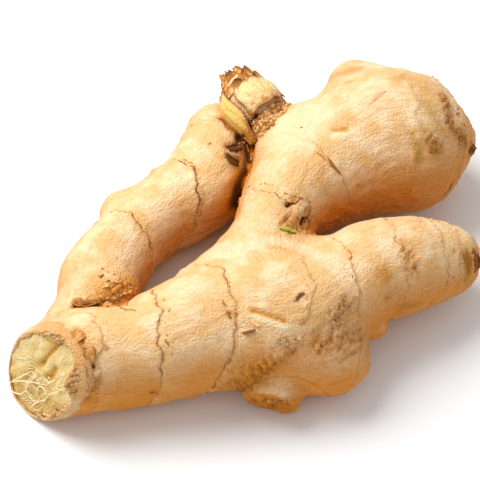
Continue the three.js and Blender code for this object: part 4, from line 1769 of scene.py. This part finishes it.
FLAKES = [
    # the curled flap, with painted shadow under it, and the torn skin where the left arm meets the front
    # limb
    Flake((-50.6, -30.4, 21.2), (-47, -30.6, 21.6), 1.4, 0.9, 0.85, 0.25),
    Flake((-47.4, -30.6, 21.6), (-43.6, -29.8, 21.8), 1.5, 1, 0.9, 0.25),
    Flake((-38, -27.6, 21.2), (-42.4, -28.8, 21.6), 1.5, 0.6, 0.75),
    Flake((-34, -25, 20), (-37.8, -27, 20.6), 1.3, 0.6, 0.8),
    Flake((-36.6, -22.6, 22), (-39.8, -24.4, 22.6), 1.2, 0.5, 0.7),
    Flake((-40.8, -24.6, 22.8), (-43, -26.6, 22.8), 1.2, 0.4, 0.8),
    # the ragged skin beside the cut end
    Flake((-47.2, -46.4, 27.2), (-46, -50, 26.6), 1.6, 0.7, 0.6, 0.2),
    Flake((-46.6, -49.6, 26.6), (-45.2, -53, 25.2), 1.9, 0.8, 0.75, 0.2),
    Flake((-45.4, -53.8, 24.4), (-45, -57, 22), 1.8, 0.9, 0.6, 0.2),
    Flake((-45, -56.6, 21.6), (-45.4, -59.2, 17.4), 1.5, 0.7, 0.7, 0.2),
    Flake((-43.8, -50.6, 26.6), (-43, -54, 24.6), 1.3, 0.5, 0.5, 0.2),
    Flake((-43.4, -56.2, 22.4), (-43.6, -59, 18), 1.2, 0.5, 0.55, 0.2),
    # both scabs on the left arm beside the bud
    Flake((-2.6, 27.6, 24.6), (-6.6, 25.9, 26.2), 2.4, 0.7, 0.04, 0.7),
    Flake((-3.4, 21.4, 22.8), (-7.2, 23.2, 25.4), 2.6, 0.8, 0.1, 0.6),
    Flake((-2.8, 24.2, 23.6), (-5.2, 25, 25), 1, 0.6, 0.85),
    # torn skin over the two notches of the neck, and the bridge between them
    Flake((14.4, 0.6, 31.4), (10.4, -1.2, 32), 1.6, 0.8, 0.75, 0.3),
    Flake((17.8, -0.4, 28.2), (15.4, -4, 28.6), 1.5, 0.9, 0.7, 0.3),
    Flake((14.6, -5.4, 28.4), (13.6, -1.6, 30.4), 1.2, 0.6, 0.85, 0.3),
    Flake((18.6, -5.4, 25.2), (18.4, -1.6, 26.4), 1.2, 0.6, 0.6, 0.25),
    # the pale flake on the second ring of the big limb
    Flake((24.6, 11.4, 33.4), (19.6, 15.6, 35.8), 1.6, 1, 1, 0.2),
    Flake((26.6, 10.2, 31.6), (23.2, 13.4, 34.4), 1.1, 0.7, 0.45, 0.2),
    # splinters and torn skin round the gouge
    Flake((1.2, -46.2, 29.4), (-2.4, -46.8, 28.7), 0.9, 0.9, 0.2, 0.25),
    Flake((3, -45.4, 30.2), (0.2, -44.4, 31), 1, 0.5, 0.95, 0.2),
    Flake((13.4, -47.6, 26.4), (7.2, -48.4, 27.4), 1.3, 0.6, 0.8, 0.25),
    Flake((12.6, -38.8, 33.5), (15, -37.4, 33.9), 0.9, 0.4, 0.25, 0.2),
    # the lifted flakes on the third ring of the front limb
    Flake((-5.2, -43.9, 31.4), (-6.4, -42, 32.2), 0.9, 0.6, 0.5, 0.2),
    Flake((-6.6, -40.6, 32.7), (-7.8, -38.8, 33.1), 0.7, 0.5, 0.65, 0.15),
    # crescents at the tips
    Flake((62.4, -12.4, 23.6), (63.8, -17, 18), 1.3, 0.8, 0.5, 0.3, 0.3),
    Flake((64.8, -11.6, 22.6), (66, -16, 16.4), 1.2, 0.7, 0.3, 0.3, 0.3),
    Flake((66.8, -12, 20), (67.2, -14.2, 16.2), 1, 0.5, 0.1, 0.3),
    Flake((66, 26.4, 25), (67.4, 27.6, 21.4), 1.4, 0.8, 0.15, 0.3),
    Flake((67.6, 29.2, 22.6), (68.8, 31.6, 18.6), 1.3, 0.7, 0.2, 0.3),
    Flake((63, 26.4, 30.2), (65.4, 25.4, 27.6), 1.2, 0.6, 0.45, 0.25),
]


@dataclass(frozen=True)
class DrySkin:
    """All the dry torn skin: flakes at the rings and marks, threads and crumbs.

    round_it is the part of a ring, in degrees, on which flakes stand, where the ring runs no more
    than deepest off the skin. lowest and crumbs_from are the least heights of flakes and crumbs.
    """

    root: Field
    ground: Ground
    round_it: Pair = (-40.0, 220.0)
    deepest: float = 1.0
    lowest: float = 0.5
    crumbs_from: float = 0.4

    def build(self, finish: Material) -> None:
        """Builds the flakes, the threads and the crumbs, each kind from its own random draw."""
        kinds = (
            ("ring_flakes", self._rings, 5), ("torn_flakes", self._flakes, 8),
            ("dry_threads", self._threads, 9), ("dry_crumbs", self._crumbs, 10),
        )
        for name, fill, seed in kinds:
            batch = Batch()
            fill(batch, np.random.default_rng(seed))
            batch.make(name, finish)

    def _rings(self, batch: Batch, rng: Rng) -> None:
        """Adds the short dry flakes that stand on the rings' edges."""
        rings = [(limb, ring) for limb in MAIN_LIMBS for ring in limb.rings]
        for limb, ring in rings:
            for _ in range(ring.flakes * 2):
                angle = np.radians(rng.uniform(*self.round_it))
                if ring.shows(np.array(angle)) < 0.5:
                    continue
                size = rng.uniform(0.5, 1.4) * (1.5 if ring.dark > 0.7 else 1.0)
                turn = angle + np.array([0.5, -0.5]) * size / 14
                ends = limb.skin_at(ring.line(turn) - 0.15, turn, 0.0)
                foot, _ = self.ground.land(ends)
                far = np.abs(self.root.sample(ends)).max() > self.deepest
                if far or foot[:, 2].min() < self.lowest:
                    continue
                lift, tone = rng.uniform(0.05, 0.3), rng.choice([0.5, 0.7, 0.85, 1.0])
                flake = Flake(*map(tuple, foot), rng.uniform(0.3, 0.8), lift, tone, 0.1)
                batch.add(flake.shape(self.ground, rng), tone=tone)

    def _flakes(self, batch: Batch, rng: Rng) -> None:
        """Adds the larger flakes, each where the photo shows it."""
        for flake in FLAKES:
            batch.add(flake.shape(self.ground, rng), tone=flake.tone)

    def _threads(self, batch: Batch, rng: Rng) -> None:
        """Adds the thin dry shreds of fibre that lie on the skin."""
        for stops, radius, tone in THREADS:
            line, facing = self.ground.land(curve(stops, 8 * len(stops)))
            arch = 0.15 + 0.3 * np.abs(np.sin(np.linspace(0, 5, len(line)) + rng.uniform(0, 3)))
            taper = np.linspace(1.0, 0.45, len(line))
            batch.add(tube(line + facing * arch[:, None], radius * taper), tone=tone)

    def _crumbs(self, batch: Batch, rng: Rng) -> None:
        """Adds the crumbs of dry skin in the creases and on the rough spots."""
        for start, end, reach, count, tones in CRUMBS:
            for _ in range(count):
                spot = between(start, end, rng.uniform())
                foot, facing = self.ground.land(spot + rng.normal(0, reach, 3))
                if foot[2] < self.crumbs_from:
                    continue
                size = np.diag(rng.uniform(0.15, 0.6, 3))
                batch.add(crumb(foot + 0.1 * facing, size, rng), tone=0.15 + rng.uniform(*tones))


# Each thread's stops, its radius and its tone.
THREADS = [
    (((-50.4, -30.9, 21.2), (-48.6, -31.9, 21), (-46, -32, 21.2), (-43.4, -30.6, 21.6)), 0.36, 0.6),
    (((-43, -30.2, 21.6), (-38.6, -30.4, 19.9), (-36.2, -36.8, 25.8), (-31.7, -40, 29)), 0.2, 0.4),
    (((-43.1, -29.7, 21.7), (-41.3, -30.6, 20.9), (-39.7, -28.2, 21.4), (-37.7, -29.4, 20.1)), 0.22, 0.2),
    (((-39.9, -30.5, 20.6), (-38.3, -28.6, 20.6), (-35.6, -26.9, 19.6)), 0.2, 0.3),
    (((-40.5, -26.8, 22), (-38.5, -24.8, 22.4), (-35.5, -24.6, 21)), 0.16, 0.5),
    (((-34.6, -35.4, 25), (-33.6, -33, 22.8)), 0.15, 0.6),
    (((4.6, 15.8, 22), (1.2, 11, 22.5), (-1, 6, 22)), 0.12, 0.9),
]

# Where crumbs lie: from one end to the other, how far they stray, how many, and their tones.
CRUMBS = [
    ((-51, -31, 20.6), (-49.4, -30.4, 21.2), 0.5, 6, (0.2, 0.6)),
    ((-41.9, -29.4, 21.7), (-34.9, -24.5, 19.8), 1.5, 40, (0.2, 0.9)),
    ((-43.6, -20.9, 23.4), (-39, -23.5, 22.6), 1.3, 8, (0.2, 0.8)),
    ((-47.8, -46.7, 24.4), (-44.4, -58.4, 18.6), 0.7, 22, (0.2, 0.9)),
    ((-45, -52.4, 23), (-43.8, -53.8, 23), 0.25, 4, (0, 0.1)),
    ((-3, 29, 25.5), (-3, 24, 24.4), 0.6, 9, (0, 0.3)),
    ((11, -2.4, 31), (13.4, -0.4, 31), 0.4, 5, (0, 0.3)),
    ((15.2, -5.6, 26.6), (17, -1.6, 27.4), 0.5, 7, (0, 0.4)),
    ((3.5, -58.5, 9.8), (11, -57.4, 11.6), 0.8, 18, (0.1, 0.8)),
    ((7.5, -48.5, 27.2), (13, -47.8, 26.4), 0.7, 8, (0.4, 1)),
    ((58.5, 35.8, 37), (64.8, 25.7, 28), 1.4, 16, (0.1, 0.7)),
    ((66.6, 27.2, 23.6), (68.6, 31.2, 18.8), 1, 12, (0, 0.4)),
    ((62.6, -13, 23), (66.8, -14, 16.6), 1.3, 12, (0, 0.6)),
    ((23.4, -41.4, 28.1), (28.1, -42.2, 19.4), 1.6, 10, (0.4, 0.9)),
    ((54.2, 21.5, 33.7), (56.1, 19.9, 31), 1, 8, (0.2, 0.7)),
]


@dataclass(frozen=True)
class GreenSliver:
    """The small sliver of green leaf base that sticks to the neck."""

    start: Point = (8.3, -10.8, 30.7)
    end: Point = (13.0, -10.6, 28.2)
    width: float = 1.5
    thick: float = 0.45

    def build(self, ground: Ground, finish: Material) -> None:
        """Builds the sliver, widest in its middle and pointed at both ends.

        Args:
            ground: The finished skin.
            finish: Its material.
        """
        u = np.linspace(0, 1, 14)
        line, facing = ground.land(between(self.start, self.end, u))
        side = unit(np.cross(facing, np.gradient(line, axis=0)))
        half = self.width / 2 * np.sin(np.pi * np.clip(u, 0.04, 0.96)) ** 0.7
        v = np.linspace(-1, 1, 5)
        spots = line[:, None] + side[:, None] * (half[:, None] * v)[..., None]
        rise = 0.35 + 0.3 * (1 - v**2) * np.sin(np.pi * u)[:, None]
        spots = spots + facing[:, None] * rise[..., None]
        make_piece("green_sliver", sheet(spots, self.thick), finish)


@dataclass(frozen=True)
class Studio:
    """The plain studio: floor, soft light and the camera at the photograph's viewing angle.

    away is the camera's distance from aim, and clip, in metres, is the range that it sees. gap is
    how far the floor lies under the root, and sky is how bright the white world is.
    """

    tilt_deg: float = 50.0
    away: float = 480.0
    lens: float = 120.0
    aim: Point = (-3.07, -2.77, 15.5)
    clip: Pair = (0.01, 20.0)
    floor: float = 3000.0
    gap: float = 0.1
    floor_grey: Colour = (0.9, 0.9, 0.9, 1.0)
    floor_rough: float = 0.9
    white: Colour = (1.0, 1.0, 1.0, 1.0)
    key_watts: float = 5.7
    key_size: float = 480.0
    key_place: Point = (-340.0, 230.0, 560.0)
    sky: float = 0.6

    def build(self) -> None:
        """Makes the camera, the light, the world and the floor."""
        tilt = math.radians(self.tilt_deg)
        back = np.array([0.0, -math.cos(tilt), math.sin(tilt)])
        camera = link("camera", bpy.data.cameras.new("camera"))
        camera.data.lens = self.lens
        camera.data.clip_start, camera.data.clip_end = self.clip
        camera.location = (np.array(self.aim) + self.away * back) * MM
        camera.rotation_euler = (math.pi / 2 - tilt, 0.0, 0.0)
        bpy.context.scene.camera = camera
        self._floor()
        self._light()

    def _floor(self) -> None:
        """Makes the plain pale floor just under the root."""
        half = self.floor / 2 * MM
        low = -self.gap * MM
        mesh = bpy.data.meshes.new("floor")
        corners = [(-half, -half, low), (half, -half, low), (half, half, low), (-half, half, low)]
        mesh.from_pydata(corners, [], [(0, 1, 2, 3)])
        floor = link("floor", mesh)
        mesh.materials.append(new_material("floor", self.floor_grey, self.floor_rough)[0])
        log.info("floor: %.0f mm wide", self.floor)

    def _light(self) -> None:
        """Makes one soft light from the upper left and a pale sky."""
        world = bpy.data.worlds.new("studio")
        bpy.context.scene.world = world
        world.use_nodes = True
        background = world.node_tree.nodes["Background"].inputs
        background["Color"].default_value = self.white
        background["Strength"].default_value = self.sky
        light = link("key", bpy.data.lights.new("key", "AREA"))
        light.data.size = self.key_size * MM
        light.data.energy = self.key_watts
        light.location = np.array(self.key_place) * MM
        x, y, z = unit(np.array(self.key_place))
        light.rotation_euler = (0.0, math.acos(z), math.atan2(y, x))
        bpy.context.scene.view_settings.view_transform = "Standard"


def build_root() -> None:
    """Builds every piece of the root."""
    mottle_group()
    fibre_group()
    finishes = {
        "skin": SkinFinish(), "flesh": FleshFinish(), "scale": ScaleFinish(), "dry": DryFinish(),
        "fibre": Finish("flesh fibre", rgb(250, 236, 190), glow=Glow(0.2)),
        "green": Finish("green sliver", rgb(176, 178, 52), glow=Glow(0.2)),
    }
    materials = {name: finish.material() for name, finish in finishes.items()}
    root = Field()
    root.fill([*MAIN_LIMBS, *KNOBS])
    root.refine()
    root.trim([CUT, KNOB_BREAK], SUNK)
    ground = Ground(*RootSkin(root).build(materials["skin"]))
    CutEnd().build(root, materials)
    for number, scale in enumerate(SCALES):
        scale.build(materials["scale"], number)
    BudCrown().build(ground, materials)
    DrySkin(root, ground).build(materials["dry"])
    GreenSliver().build(ground, materials["green"])


def main() -> None:
    """Builds the studio and the root."""
    logging.basicConfig(level=logging.INFO, format="%(name)s: %(message)s")
    Studio().build()
    build_root()


if __name__ == "__main__":
    main()
